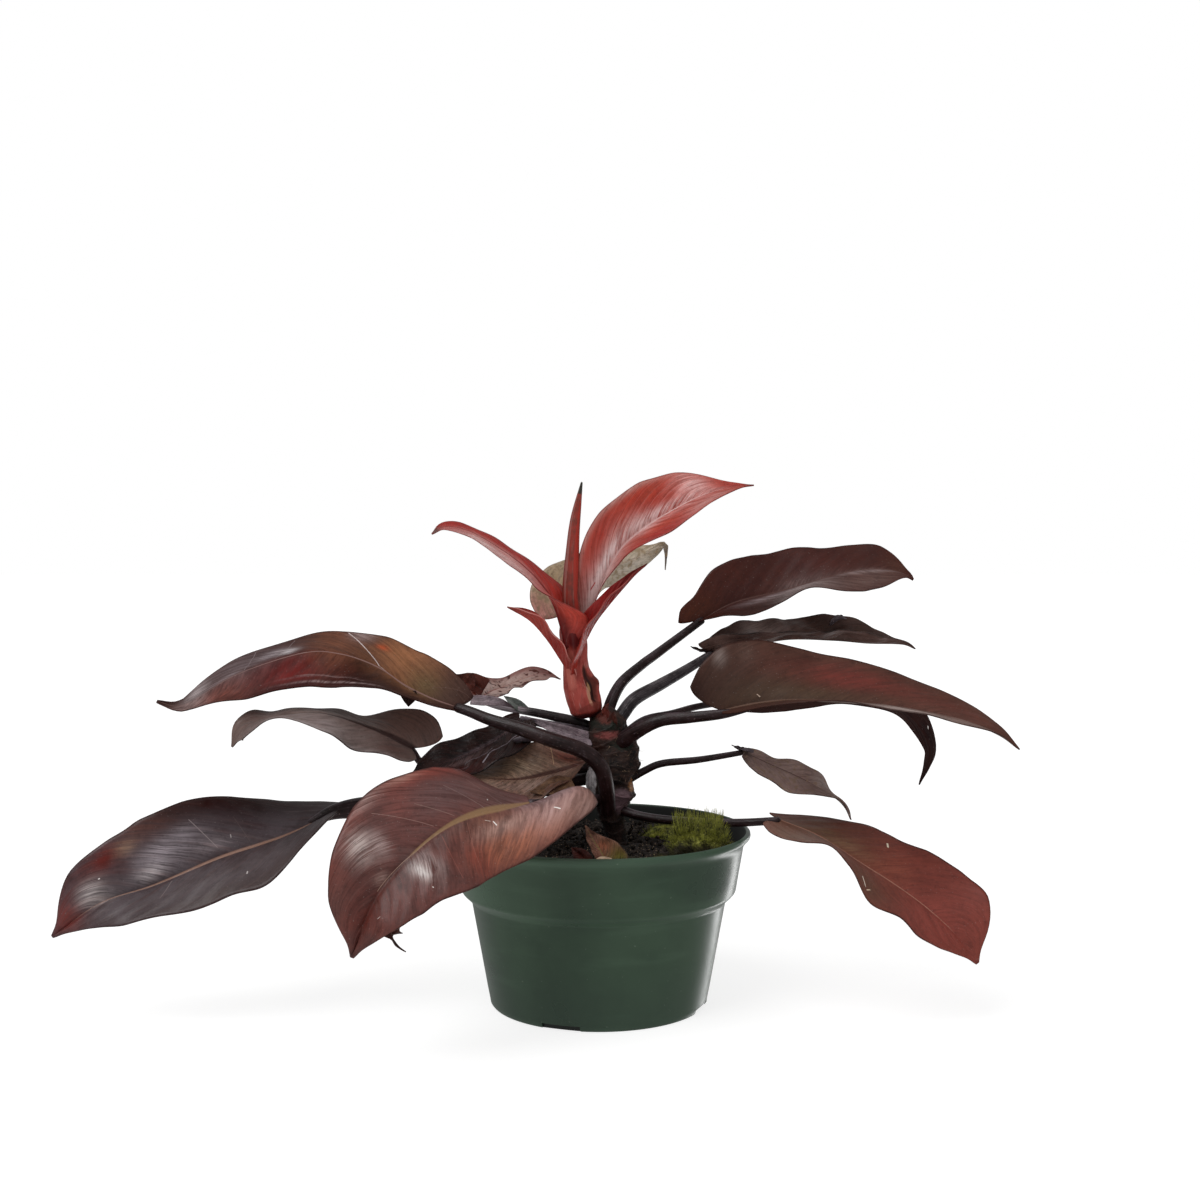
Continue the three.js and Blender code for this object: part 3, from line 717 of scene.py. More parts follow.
def mossCushion(name, centre, half):
    cushion = newBall(name, 5)
    ball = getPoints(cushion)
    swell = 1 + 0.16 * roughness(ball, 0.5, 7) + 0.1 * roughness(ball, 0.18, 8)
    ball = ball * swell[:, None] * half * 0.86 + centre
    ball[:, 2] = np.maximum(ball[:, 2], mossLow["cushion"])
    ball[:, :2] *= np.minimum(1, mossOut["cushion"] / np.linalg.norm(ball[:, :2], axis=1))[:, None]
    setPoints(cushion, ball)
    closeUp(cushion)
    return cushion


def strandPlaces(draw, tuft, wispCount, centre, half):
    # short strands all over the cushion, each leaning its own way
    places = []
    while len(places) < tuft["strands"]:
        way = Vector((draw.gauss(0, 1), draw.gauss(0, 1), abs(draw.gauss(0, 1)) + 0.05)).normalized()
        at = np.array(way) * half * draw.uniform(0.7, 0.9) + centre
        lean = Vector((draw.uniform(-0.9, 0.9), draw.uniform(-0.9, 0.9), draw.uniform(-0.1, 0.8)))
        lean = (way + lean).normalized()
        long = draw.uniform(*tuft["length"]) / 1000
        tip = at + np.array(lean) * long
        isOut = np.hypot(*at[:2]) > mossOut["root"] or np.hypot(*tip[:2]) > mossOut["tip"]
        if isOut or at[2] < mossLow["strand"]:
            continue
        size = np.array([long * 0.7, long * 0.7, long])
        places.append((at, size, lean.to_track_quat("Z", "X"), 0 if draw.random() < 0.6 else 1))
    for n in range(wispCount):
        # longer pale strands stand almost upright among the others
        at = centre + half * [draw.uniform(-0.8, 0.7), draw.uniform(-0.7, 0.5), 0.7]
        lean = Vector((draw.uniform(-0.4, 0.4), draw.uniform(-0.3, 0.3), 1))
        long = draw.uniform(0.006, 0.0135)
        if np.hypot(*at[:2]) < mossOut["wisp"]:
            places.append((at, np.array([long * 0.5, long * 0.5, long]), lean.to_track_quat("Z", "X"), 1))
    return places


mossSkin = mossFinish("mossGreen", (44, 45, 15), (136, 138, 44), (180, 178, 92))
mossStraw = mossFinish("mossStraw", (110, 114, 50), (150, 154, 84), (200, 198, 150))
for tuftName, tuft in mossTufts.items():
    centre, half = np.array(tuft["centre"]) / 1000, np.array(tuft["half"]) / 1000
    plainName = tuftName.replace("_", "")
    cushion = mossCushion(plainName + "Cushion", centre, half)
    # the low cushion behind the stem has no CAD node
    dress(cushion, [mossSkin], "moss", *([] if tuftName == "moss_back" else [tuftName]))
    draw = random.Random(tuft["strands"])
    places = strandPlaces(draw, tuft, wisps.get(tuftName, 0), centre, half)
    dress(scatter(plainName + "Strands", strandShape("strand"), places), [mossSkin, mossStraw], "moss")
print("moss made")

stone = {"centre": (2.6, -71.5, 89.3), "half": (5.4, 3.6, 4.6)}
pebble = newBall("tanPebble", 5)
ball = getPoints(pebble)
ball = ball * (1 + 0.14 * roughness(ball, 0.8, 3) + 0.03 * roughness(ball, 0.2, 5))[:, None]
setPoints(pebble, ball * np.array(stone["half"]) / 1000 + np.array(stone["centre"]) / 1000)
pebbleSkin = grainFinish("tanStone", 0.75, 420, 4, [(206, 180, 152), (150, 122, 98)], 0.7, 0.4)
dress(pebble, [pebbleSkin], "pebble", "pebble")


# stem: a thick short trunk with ring scars and leftover fibres, in mm

stem = {
    "line": [[9, 2, 66], [9, 2, 89], [7, 0, 103], [7, 0, 113], [9, 0, 124], [9, 0, 137], [5, 0, 147],
             [2.5, 0, 153], [-1, 0, 158]],
    "radii": [8, 7, 6, 7, 10.5, 12, 11.8, 11, 7], "foot": 66, "tall": 92,
    # swollen feet of petioles and folds: height, angle, half height, half angle, rise
    "lumps": [(155, 262, 5, 46, 0.34), (151, 100, 4.2, 80, 0.13), (151, 10, 5, 40, 0.1),
              (141, 60, 3.5, 40, -0.12), (136, 20, 5, 26, 0.16), (129, -5, 3, 22, 0.14),
              (121, 10, 3, 30, -0.2),
              (113, 20, 5.5, 40, 0.24), (124, 175, 9, 34, 0.26), (131, 120, 5, 22, 0.12),
              (108, 130, 6, 30, 0.14), (118, 70, 3, 40, -0.14), (145, 150, 5, 24, 0.12),
              (133, 250, 6, 30, 0.14), (117, 290, 6, 34, 0.14), (147, 300, 5, 30, 0.12),
              (104, 240, 5, 40, 0.12)],
    # pinkish and pale grey scars in metres: place, half size, colour, strength
    "scars": [((0.005, -0.011, 0.1465), (0.009, 0.007, 0.0022), (142, 74, 70), 0.9),
              ((0.012, -0.009, 0.1425), (0.006, 0.006, 0.004), (22, 34, 28), 0.9),
              ((-0.005, -0.006, 0.1225), (0.0032, 0.009, 0.0085), (168, 160, 166), 0.9),
              ((0.012, -0.007, 0.111), (0.005, 0.006, 0.006), (118, 92, 98), 0.85),
              ((0.0185, -0.004, 0.1195), (0.0032, 0.006, 0.003), (176, 122, 76), 0.9),
              ((0.0, -0.008, 0.153), (0.012, 0.008, 0.0032), (30, 34, 28), 0.85),
              ((0.003, -0.006, 0.1565), (0.004, 0.01, 0.0035), (98, 46, 38), 0.85),
              ((-0.003, -0.011, 0.1395), (0.006, 0.006, 0.006), (64, 40, 34), 0.7)],
}
# fibres stand round the stem's axis, whose radius goes with the height
fibres = {"count": 170, "length": (2, 6), "axis": (8, 0), "heights": [104, 113, 124, 137, 150],
          "radii": [6, 7.2, 10.6, 12, 11.4]}


def stemShape(u, angle):
    height = stem["foot"] + stem["tall"] * u
    grow = np.zeros_like(u)
    for z, degrees, halfZ, halfTurn, rise in stem["lumps"]:
        grow += rise * np.exp(-(((height - z) / halfZ) ** 2) - (turnGap(angle, degrees) / halfTurn) ** 2)
    # each ring scar overhangs the one below it
    rings = (u * 13 + 0.22 * np.sin(angle + 0.6) + 0.1 * np.sin(3 * angle + u * 9)) % 1
    spots = np.stack([np.cos(angle) * 1.1, np.sin(angle) * 1.1, u * 8], axis=-1)
    grains = [(0.05, 0.55, 3), (0.035, 0.16, 4), (0.02, 0.07, 5)]
    rough = sum(high * roughness(spots, size, seed) for high, size, seed in grains)
    return 0.94 + 0.09 * rings**3 + grow + rough


def barkFinish():
    paint = Paint("crownBark", {"Specular IOR Level": 0.35}, 1.1, 0.008)
    place, x, y, z = paint.place()
    u, v = paint.uv()
    clouds = paint.grain(place, 150, 4, 0.7)
    patches = paint.grain(place, 70, 2, 0.5)
    fine = paint.grain(paint.join(u * 170, v * 22, 0.0), 1, 4, 0.7)
    paint.colour = paint.mix(paint.fade(clouds * 0.6 + fine * 0.4, 0.38, 0.62), (28, 22, 21), (64, 46, 41))
    paint.layer(paint.fade(fine, 0.56, 0.68) * 0.5, (104, 82, 66))
    paint.layer(paint.fade(patches, 0.5, 0.6) * 0.6, (64, 44, 44))
    for at, half, tone, strength in stem["scars"]:
        dx, dy, dz = [(way - middle) / reach for way, middle, reach in zip((x, y, z), at, half)]
        spread = dx * dx + dy * dy + dz * dz + (clouds - 0.5) * 5 + (fine - 0.5) * 3
        paint.layer(paint.fade(spread, 1.9, 0.0) * strength, tone)
    return paint.finish({
        "Roughness": paint.fade(clouds, 0.3, 0.7, 0.34, 0.75),
        "Normal": paint.bump(fine * 0.7 + clouds * 0.6, 0.8, 0.0014),
    })


def fibrePlace(draw):
    height = draw.choice([draw.uniform(104, 150), draw.uniform(114, 134)])
    turn = draw.uniform(0, 2 * math.pi)
    out = Vector((math.cos(turn), -math.sin(turn), 0))
    at = Vector((*fibres["axis"], height)) + out * np.interp(height, fibres["heights"], fibres["radii"])
    way = out * draw.uniform(0.2, 0.9)
    way += Vector((draw.uniform(-0.5, 0.5), draw.uniform(-0.5, 0.5), draw.uniform(-1, 0.8)))
    long = draw.uniform(*fibres["length"]) / 1000
    return np.array(at) / 1000, np.array([long * 0.9, long * 0.9, long]), way.to_track_quat("Z", "X"), 0


trunk = tube("trunk", stem["line"], stem["radii"], 110, 260, 0.03, stemShape)
dress(trunk, [barkFinish()], "bark", "stem")
draw = random.Random(31)
fibrePlaces = [fibrePlace(draw) for n in range(fibres["count"])]
fibrePiece = scatter("crownFibres", strandShape("fibre"), fibrePlaces)
dress(fibrePiece, [grainFinish("paleFibre", 0.8, 400, 2, [(70, 54, 44), (150, 124, 100)])], "bark")
print("stem made")


# petioles: a line and its radii in mm

petioles = {
    "far_left": ([[2, 8, 123], [-33, 10, 115], [-82, 6, 108], [-118, 1, 107], [-142, -4, 105],
                  [-158, -8, 98]], [4, 3.6, 3.8, 4.6, 6.2, 2]),
    "front": ([[1, -3, 112], [-8, -28, 113], [-20, -56, 118], [-34, -86, 123]], [3.4, 3, 2.8, 2.6]),
    "upper_left": ([[5, -14, 105], [4, -26, 121], [1, -33, 133], [-8, -37, 142], [-25, -36, 148],
                    [-41, -31, 153], [-57, -25, 157], [-69, -20, 161], [-77, -16, 163]],
                   [4.2, 4.2, 4.2, 4.2, 4, 3.8, 3.4, 3, 2.6]),
    "spotted": ([[-4, 6, 149], [-11, 6, 152], [-29, 8, 156], [-41, 10, 158], [-54, 12, 160],
                 [-65, 16, 163]], [3.2, 3, 2.6, 2.4, 2.2, 2]),
    "mid_left": ([[1, 4, 129], [-22, 4, 125], [-54, 0, 123], [-81, -8, 125], [-94, -15, 132],
                  [-100, -18, 141]], [3.2, 2.8, 2.5, 2.3, 2.2, 2]),
    "dark_left": ([[1, 2, 145], [-22, 2, 150], [-35, 0, 153], [-43, -2, 155]], [3.6, 3.2, 2.4, 1.9]),
    "brown_left": ([[3, -3, 131], [-2, -8, 132], [-7, -14, 133]], [3, 2.6, 2.3]),
    "hidden_front": ([[2, 2, 116], [-22, -18, 106], [-46, -48, 108], [-60, -66, 116], [-65, -70, 122]],
                     [2.8, 2.4, 2.2, 2, 1.9]),
    "upper_right": ([[4, 2, 154], [7, 4, 164], [13, 8, 174], [24, 14, 183], [33, 20, 189], [59, 34, 207]],
                    [3.4, 3.2, 2.8, 2.6, 2.4, 2.2]),
    "crumpled_right": ([[8, 2, 149], [13, 4, 157], [20, 7, 165], [34, 14, 172], [48, 22, 179],
                        [64, 30, 188]], [4, 3.9, 3.6, 3.2, 2.8, 2.4]),
    "long_right": ([[10, -4, 141], [21, -12, 150], [33, -17, 156], [48, -21, 158], [66, -26, 160.5],
                    [80, -28, 163]], [5, 4.4, 3.6, 3.2, 2.8, 1]),
    "drooping_right": ([[12, 3, 144], [25, 8, 153], [41, 14, 156], [56, 22, 159], [79, 34, 161]],
                       [2.6, 2.2, 2, 1.9, 1.8]),
    "small_right": ([[14, 0, 120], [25, 2, 126], [35, 2, 130], [55, 2, 132], [79, 2, 136]],
                    [2.4, 2.1, 2, 1.8, 1.6]),
    "low_right": ([[7, 0, 107], [22, -8, 103], [43, -12, 101], [72, -18, 101], [97, -22, 103]],
                  [2.8, 2.5, 2.4, 2.3, 2.2]),
    "young_back": ([[-2, 6, 152], [-9, 14, 180], [-13, 18, 200], [-13, 20, 214]], [2.6, 2.4, 2.1, 1.9]),
}
stalkSkin = stalkFinish("darkStalk", (38, 28, 28), (56, 40, 40), (108, 94, 102), 0.36)
stalkSkins = {
    "young_back": stalkFinish("youngStalk", (120, 60, 56), (140, 80, 74), (170, 120, 112), 0.4),
    # the grey and the lilac stalks are pale partly from painted highlights along them
    "crumpled_right": stalkFinish("greyStalk", (46, 41, 43), (72, 66, 69), (134, 126, 130), 0.42),
    "dark_left": stalkFinish("lilacStalk", (54, 44, 48), (92, 82, 88), (184, 174, 182), 0.42),
    "spotted": stalkFinish("fadingStalk", (36, 29, 30), (52, 42, 43), (108, 96, 102), 0.42,
                           farTone=(170, 156, 162)),
}
# the rolled upper edge of the dark left leaf shows below the upper petiole
rolled = {
    "line": [[-46, -18, 145], [-38.7, -18, 146.6], [-31.8, -18, 146.4], [-25, -18, 145], [-18.5, -16, 142],
             [-6, -10, 136]],
    "radii": [1, 2, 2.3, 2.3, 2.3, 2],
}


def stalkShape(u, angle):
    # a shallow channel runs along the upper side
    channel = np.exp(-((wrapped(angle - math.pi / 2) / 0.5) ** 2))
    return 1 - 0.16 * channel + 0.02 * np.sin(angle * 5 + u * 6)


for leafName, (line, radii) in petioles.items():
    stalk = tube(leafName + "_stalk", line, radii, 24, 90, 0.02, stalkShape)
    dress(stalk, [stalkSkins.get(leafName, stalkSkin)], "petiole", leafName + "_petiole")
rolledEdge = tube("rolledEdge", rolled["line"], rolled["radii"], 24, 60, 0.04, stalkShape)
dress(rolledEdge, [stalkSkins["dark_left"]], "petiole")
print("petioles made")


# the young shoot: rolled sheaths and the spear leaf, in mm
# patches are place along, turn, half along, half turn, colour, strength

shoot = {
    "line": [[-5.5, 0, 155], [-7, 0, 162], [-9, 0, 170], [-12, 0, 181], [-12.5, 0, 192], [-14, 0, 202],
             [-14.5, 0, 210]],
    "radii": [8, 9, 8.9, 6.8, 6.5, 7.2, 6.6],
    # the dark band at the foot of the sheaths, where they sit in the crown, is painted shade
    "patches": [(0.3, 141, 0.24, 22, (92, 44, 36), 1), (0.26, 136, 0.12, 9, (44, 24, 20), 0.9),
                (0.42, 140, 0.08, 8, (56, 28, 24), 0.9), (0.22, 156, 0.1, 10, (206, 150, 124), 0.8),
                (0.3, 144, 0.05, 5, (170, 132, 92), 0.8), (0.0, 150, 0.07, 400, (60, 28, 26), 0.97),
                (0.34, 112, 0.05, 12, (92, 40, 34), 0.8), (0.1, 150, 0.05, 60, (112, 48, 42), 0.7),
                (0.5, 205, 0.2, 24, (206, 120, 106), 0.5), (0.85, 180, 0.16, 40, (96, 36, 38), 0.9),
                (0.25, 262, 0.2, 18, (196, 108, 96), 0.7)],
}
spear = {
    "line": [[-14, -3, 212], [-15, -4, 224], [-14, -5, 244], [-12.5, -5, 262], [-9, -6, 283]],
    "radii": [4.6, 4.4, 3.6, 2.6, 0.5],
    "patches": [(0.97, 180, 0.06, 400, (62, 60, 54), 1), (0.5, 272, 0.5, 13, (158, 112, 106), 0.6),
                (0.42, 186, 0.45, 26, (172, 56, 46), 0.8)],
}


def rolledShape(u, angle):
    # the overlapping edge of a rolled leaf runs up the side
    turn = wrapped(angle - 4.4 - 0.5 * u)
    step = 0.1 * np.clip(turn / math.pi, -1, 1) * (np.abs(turn) < 3.1)
    return 1 + step - 0.06 * np.exp(-((turn / 0.12) ** 2))


def shootShape(u, angle):
    # sheath edges stand proud, and on the right the outermost sheath has split open
    split = turnGap(angle, 148 - 26 * u)
    inGash = np.clip((21 - np.abs(split)) / 5, 0, 1)
    inGash = inGash * np.clip((u - 0.13) / 0.05, 0, 1) * np.clip((0.52 - u) / 0.12, 0, 1)
    lip = 0.1 * np.exp(-(((split - 26) / 6) ** 2)) * np.clip((0.62 - u) / 0.1, 0, 1)
    flap = 0.2 * np.exp(-(((u - 0.33) / 0.06) ** 2) - (turnGap(angle, 112) / 16) ** 2)
    edge = turnGap(angle, 215 - 130 * u)
    wrap = 0.07 * (edge > 0) * (edge < 150)
    spots = np.stack([np.cos(angle), np.sin(angle), u * 5], axis=-1)
    folds = 0.04 * roughness(spots, 0.5, 2) + 0.015 * np.sin(angle * 9 + u * 14)
    return 1 - 0.24 * inGash + lip + flap + wrap + folds


def shootFinish(name, low, high, pale, seed, patches):
    paint = Paint(name, {"Coat Weight": 0.08, "Coat Roughness": 0.3, "Specular IOR Level": 0.3},
                  1.15, 0.012)
    u, v = paint.uv()
    lines = paint.grain(paint.join(u * 5, v * 34, seed), 1, 4, 0.65)
    clouds = paint.grain(paint.place()[0], 110, 4, 0.65)
    paint.colour = paint.mix(paint.fade(clouds * 0.7 + lines * 0.3, 0.4, 0.6), low, high)
    paint.layer(paint.fade(lines, 0.54, 0.72) * 0.6, pale)
    for at, turn, halfAlong, halfTurn, tone, strength in patches:
        dx = (u - at) / halfAlong
        dy = (v - turn / 360) / (halfTurn / 360)
        mask = paint.fade(dx * dx + dy * dy + (clouds - 0.5) * 1.6, 1.3, 0.6)
        paint.layer(mask * strength, tone)
    return paint.finish({
        "Roughness": paint.fade(clouds, 0.3, 0.7, 0.3, 0.5),
        "Normal": paint.bump(lines * 0.7 + clouds * 0.5, 0.5, 0.0008),
    })


shootSkin = shootFinish("shootRed", (174, 80, 72), (146, 60, 54), (218, 160, 150), 2.0, shoot["patches"])
shootPiece = tube("shootSheaths", shoot["line"], shoot["radii"], 140, 150, 0.09, shootShape)
dress(shootPiece, [shootSkin], "young_red", "young_shoot")
spearSkin = shootFinish("spearRed", (150, 62, 54), (112, 58, 50), (166, 116, 106), 5.0, spear["patches"])
spearPiece = tube("spearLeaf", spear["line"], spear["radii"], 32, 120, 0.01, rolledShape)
dress(spearPiece, [spearSkin], "young_red", "new_spear")


# leaf blades: half width of a blade along its midrib, as shares

outlines = {
    "heart": ([0, 0.03, 0.08, 0.16, 0.28, 0.42, 0.58, 0.72, 0.84, 0.92, 0.96, 1],
              [0.34, 0.58, 0.79, 0.93, 1, 0.98, 0.88, 0.7, 0.45, 0.22, 0.09, 0.02]),
    "lobed": ([0, 0.02, 0.05, 0.1, 0.16, 0.28, 0.42, 0.58, 0.72, 0.84, 0.92, 0.96, 1],
              [0.5, 0.62, 0.67, 0.8, 0.93, 1, 0.98, 0.88, 0.7, 0.45, 0.22, 0.09, 0.02]),
    "eared": ([0, 0.02, 0.05, 0.075, 0.1, 0.15, 0.22, 0.3, 0.42, 0.58, 0.72, 0.84, 0.92, 0.96, 1],
              [0.15, 0.36, 0.42, 0.44, 0.56, 0.8, 0.95, 1, 0.98, 0.88, 0.7, 0.45, 0.22, 0.09, 0.02]),
    "spear": ([0, 0.06, 0.14, 0.26, 0.42, 0.58, 0.72, 0.84, 0.92, 0.96, 1],
              [0.12, 0.26, 0.5, 0.8, 1, 0.98, 0.8, 0.5, 0.24, 0.1, 0.02]),
    "sheath": ([0, 0.15, 0.35, 0.55, 0.72, 0.86, 0.95, 1],
               [0.75, 0.9, 1, 0.92, 0.72, 0.42, 0.16, 0.03]),
}


def outlineAt(kind, share):
    # the outline table rounded off between its places
    at, width = outlines[kind]
    even = np.linspace(0, 1, 401)
    table = np.interp(even, at, width)
    near = np.exp(-((np.arange(-14, 15) / 6.0) ** 2))
    soft = np.convolve(np.pad(table, 14, mode="edge"), near / near.sum(), mode="valid")
    blend = np.clip(np.minimum(even, 1 - even) / 0.04, 0, 1)
    return np.interp(share, even, table * (1 - blend) + soft * blend)


def blade(name, leaf, seed):
    # a leaf blade: a grid laid along the midrib, then given an even wall
    piece, u, v = newGrid(name, leaf["rows"], leaf["columns"])
    along = u ** 1.12  # rows crowd at the base, and columns at the midrib
    raw = 1 - 2 * v
    across = np.sign(raw) * np.abs(raw) ** 1.25
    out = np.abs(across)
    isLeft = across < 0
    sign = np.where(isLeft, -1, 1)
    centre, way, length = lineAt(np.array(leaf["midrib"], float) / 1000, along)
    side = unit(np.cross(way, np.array(leaf["face"], float)))
    up = np.cross(side, way)
    left, right = leaf["left"], leaf["right"]
    curve = lambda key: np.where(isLeft, smoothAt(left[key], along), smoothAt(right[key], along))
    reach = curve("reach") / 1000 * outlineAt(leaf["outline"], along)
    lift = np.radians(curve("lift"))
    lobe = np.where(isLeft, left["lobe"], right["lobe"]) / 1000
    dome = np.where(isLeft, left["dome"], right["dome"]) / 1000
    sweep = lobe * np.maximum(0, 1 - along / leaf["lobeEnd"]) ** 2
    outward = side * (sign * np.cos(lift))[:, None] + up * np.sin(lift)[:, None]
    normal = up * np.cos(lift)[:, None] - side * (sign * np.sin(lift))[:, None]
    points = centre - way * (sweep * np.sin(out * math.pi / 2) ** 0.85)[:, None]
    points = points + outward * (reach * out)[:, None]
    # bow is the height over the flat blade: cup, domed lobes, ripples, quilting between the lateral
    # veins, the midrib's groove and crumples
    middle = np.sin(math.pi * np.clip(along, 0, 1)) ** 0.5
    bow = leaf["cup"] / 1000 * 4 * out * (1 - out)
    bow = bow + dome * np.sin(math.pi * out**1.3) * np.maximum(0, 1 - along / 0.3) ** 1.5
    phase = np.where(isLeft, 0.4, 2.1) + seed
    waves = np.sin(2 * math.pi * leaf["waves"] * along + phase)
    bow = bow + leaf["ripple"] / 1000 * out**2 * waves * middle
    slant = along - 0.22 * out**1.25
    bow = bow + leaf["quilt"] / 1000 * np.sin(2 * math.pi * 11 * slant) * 4 * out * (1 - out) * middle
    bow = bow - leaf["groove"] / 1000 * np.exp(-((out * reach / 0.0013) ** 2)) * middle
    if leaf["crumple"]:
        flat = np.stack([along * length, across * reach, along * 0], axis=-1)
        bow = bow + leaf["crumple"] / 1000 * roughness(flat, 0.011, seed) * np.clip(out * 3, 0, 1) * middle
    setPoints(piece, points + normal * bow[:, None])
    setUv(piece, along, (across + 1) / 2)
    wall = piece.modifiers.new("wall", "SOLIDIFY")
    wall.thickness = leaf["wall"] / 1000
    wall.offset = 0
    applyAll(piece)
    return piece


def makeLeaf(name, skinName, changes, seed, *nodes):
    leaf = {**leafDefaults, **changes}
    skin = leafFinish(skinName, leaf, float(seed))
    dress(blade(name, leaf, seed), [skin], leaf["slot"], *nodes)


def wing(reach, lift, lobe=0, dome=0):
    # one side of a blade from its base to its tip: width in mm, and lift in degrees, a list or one
    # value; then how far its lobe reaches back and how high it domes, in mm
    lifts = lift if isinstance(lift, list) else [lift, lift]
    return {"reach": reach, "lift": lifts, "lobe": lobe, "dome": dome}


leafDefaults = {
    "slot": "blade", "face": [0, 0, 1], "outline": "heart", "cup": 0.0, "ripple": 0.8, "waves": 3.5,
    "groove": 0.5, "quilt": 0.25, "crumple": 0.0, "lobeEnd": 0.3, "wall": 0.55, "rows": 84, "columns": 36,
    "base": (104, 72, 68), "second": (84, 56, 54), "rib": (150, 118, 105), "vein": (132, 98, 92),
    "edge": (58, 38, 36), "ribWidth": 0.05, "ribEnd": 0.95, "veins": 11, "bend": (0.36, 0.36),
    "veinStrength": 0.16, "streak": 0.18, "gloss": 0.36, "bump": 0.4, "dust": 0.1, "zones": [], "marks": [],
    "spots": None, "wrinkle": 0.0, "shine": 0.25, "tooth": 0.22, "lit": 1.25, "veil": 0.014,
}
redDefaults = {
    "slot": "young_red", "base": (176, 78, 70), "second": (150, 58, 54), "rib": (214, 168, 160),
    "vein": (214, 160, 158), "edge": (140, 80, 72), "ribWidth": 0.05, "gloss": 0.38, "veins": 12,
    "veinStrength": 0.5, "streak": 0.16, "bump": 0.45, "dust": 0.05,
}
# each leaf's shape and then its look, with its midrib in mm as in the CAD table
# zones: place along and across, half size along and across, colour, strength, streakiness
# marks: where a line starts and ends, along and across, its width, colour, strength
# spots: colour, scale, and where the grain turns into spots
# many pale, lilac and near-white zones and some marks are painted highlights and sheen, as noted at each
# leaf
blades = {}
blades["far_left"] = {
    "midrib": [[-150, -8, 101], [-169, -16, 93], [-200, -26, 84], [-233, -34, 71], [-261, -38, 62],
               [-285, -40, 45]],
    "left": wing([24, 26, 35, 32, 32, 30, 33, 32, 32], [12, -24, -30, -32, -50], 9),
    "right": wing([32, 34, 33, 36, 38, 41, 44, 50, 52], [8, 45, 76, 83, 88], 14),
    # its slate lilac-grey ground is partly its own colour and partly a painted reflection of the bright sky
    "cup": 1.0, "ripple": 0.8, "base": (98, 88, 92), "second": (72, 58, 60), "rib": (168, 130, 112),
    "ribWidth": 0.045, "gloss": 0.36, "bend": (0.36, 0.45), "veins": 9,
    # the pale lilac and near-white streaky zones on the far half and near the tip are painted highlights
    "zones": [
        (0.16, 0.9, 0.3, 0.42, (48, 31, 30), 1, 0.1), (0.42, 0.98, 0.22, 0.26, (56, 36, 34), 1, 0.1),
        (0.6, 0.85, 0.12, 0.2, (110, 74, 66), 0.8, 0.4),
        (0.68, 0.72, 0.05, 0.12, (160, 132, 110), 0.7, 0.8), (0.4, -0.5, 0.5, 0.3, (108, 98, 98), 0.5, 0.4),
        (0.3, -0.9, 0.5, 0.2, (78, 64, 60), 0.7, 0.2), (0.55, 0.4, 0.12, 0.2, (172, 162, 168), 0.9, 1),
        (0.46, 0.5, 0.06, 0.14, (150, 140, 146), 0.7, 1), (0.61, 0.2, 0.05, 0.1, (214, 204, 206), 0.9, 1),
        (0.38, 0.22, 0.07, 0.1, (158, 146, 150), 0.7, 0.9),
        (0.77, 0.7, 0.07, 0.24, (104, 46, 42), 0.95, 0.2),
        (0.82, 0.3, 0.045, 0.24, (210, 200, 198), 0.95, 0.9),
        (0.8, 0.0, 0.05, 0.12, (190, 176, 174), 0.7, 0.9), (0.7, 0.45, 0.05, 0.2, (72, 46, 46), 0.7, 0.4),
        (0.93, 0.1, 0.06, 0.9, (140, 62, 54), 0.95, 0.2),
    ],
    "marks": [
        (0.425, 0.7, 0.37, 0.16, 0.0016, (176, 160, 158), 0.5),
        (0.29, 0.6, 0.26, 0.12, 0.0012, (120, 102, 100), 0.4),
        (0.775, 0.45, 0.775, 0.46, 0.003, (240, 230, 226), 1),
        (0.304, -0.62, 0.3, -0.58, 0.003, (210, 202, 200), 0.9),
        (0.317, 0.25, 0.316, 0.3, 0.002, (200, 190, 188), 0.8),
        (0.55, -0.1, 0.6, -0.5, 0.0012, (168, 150, 146), 0.6),
    ],
}
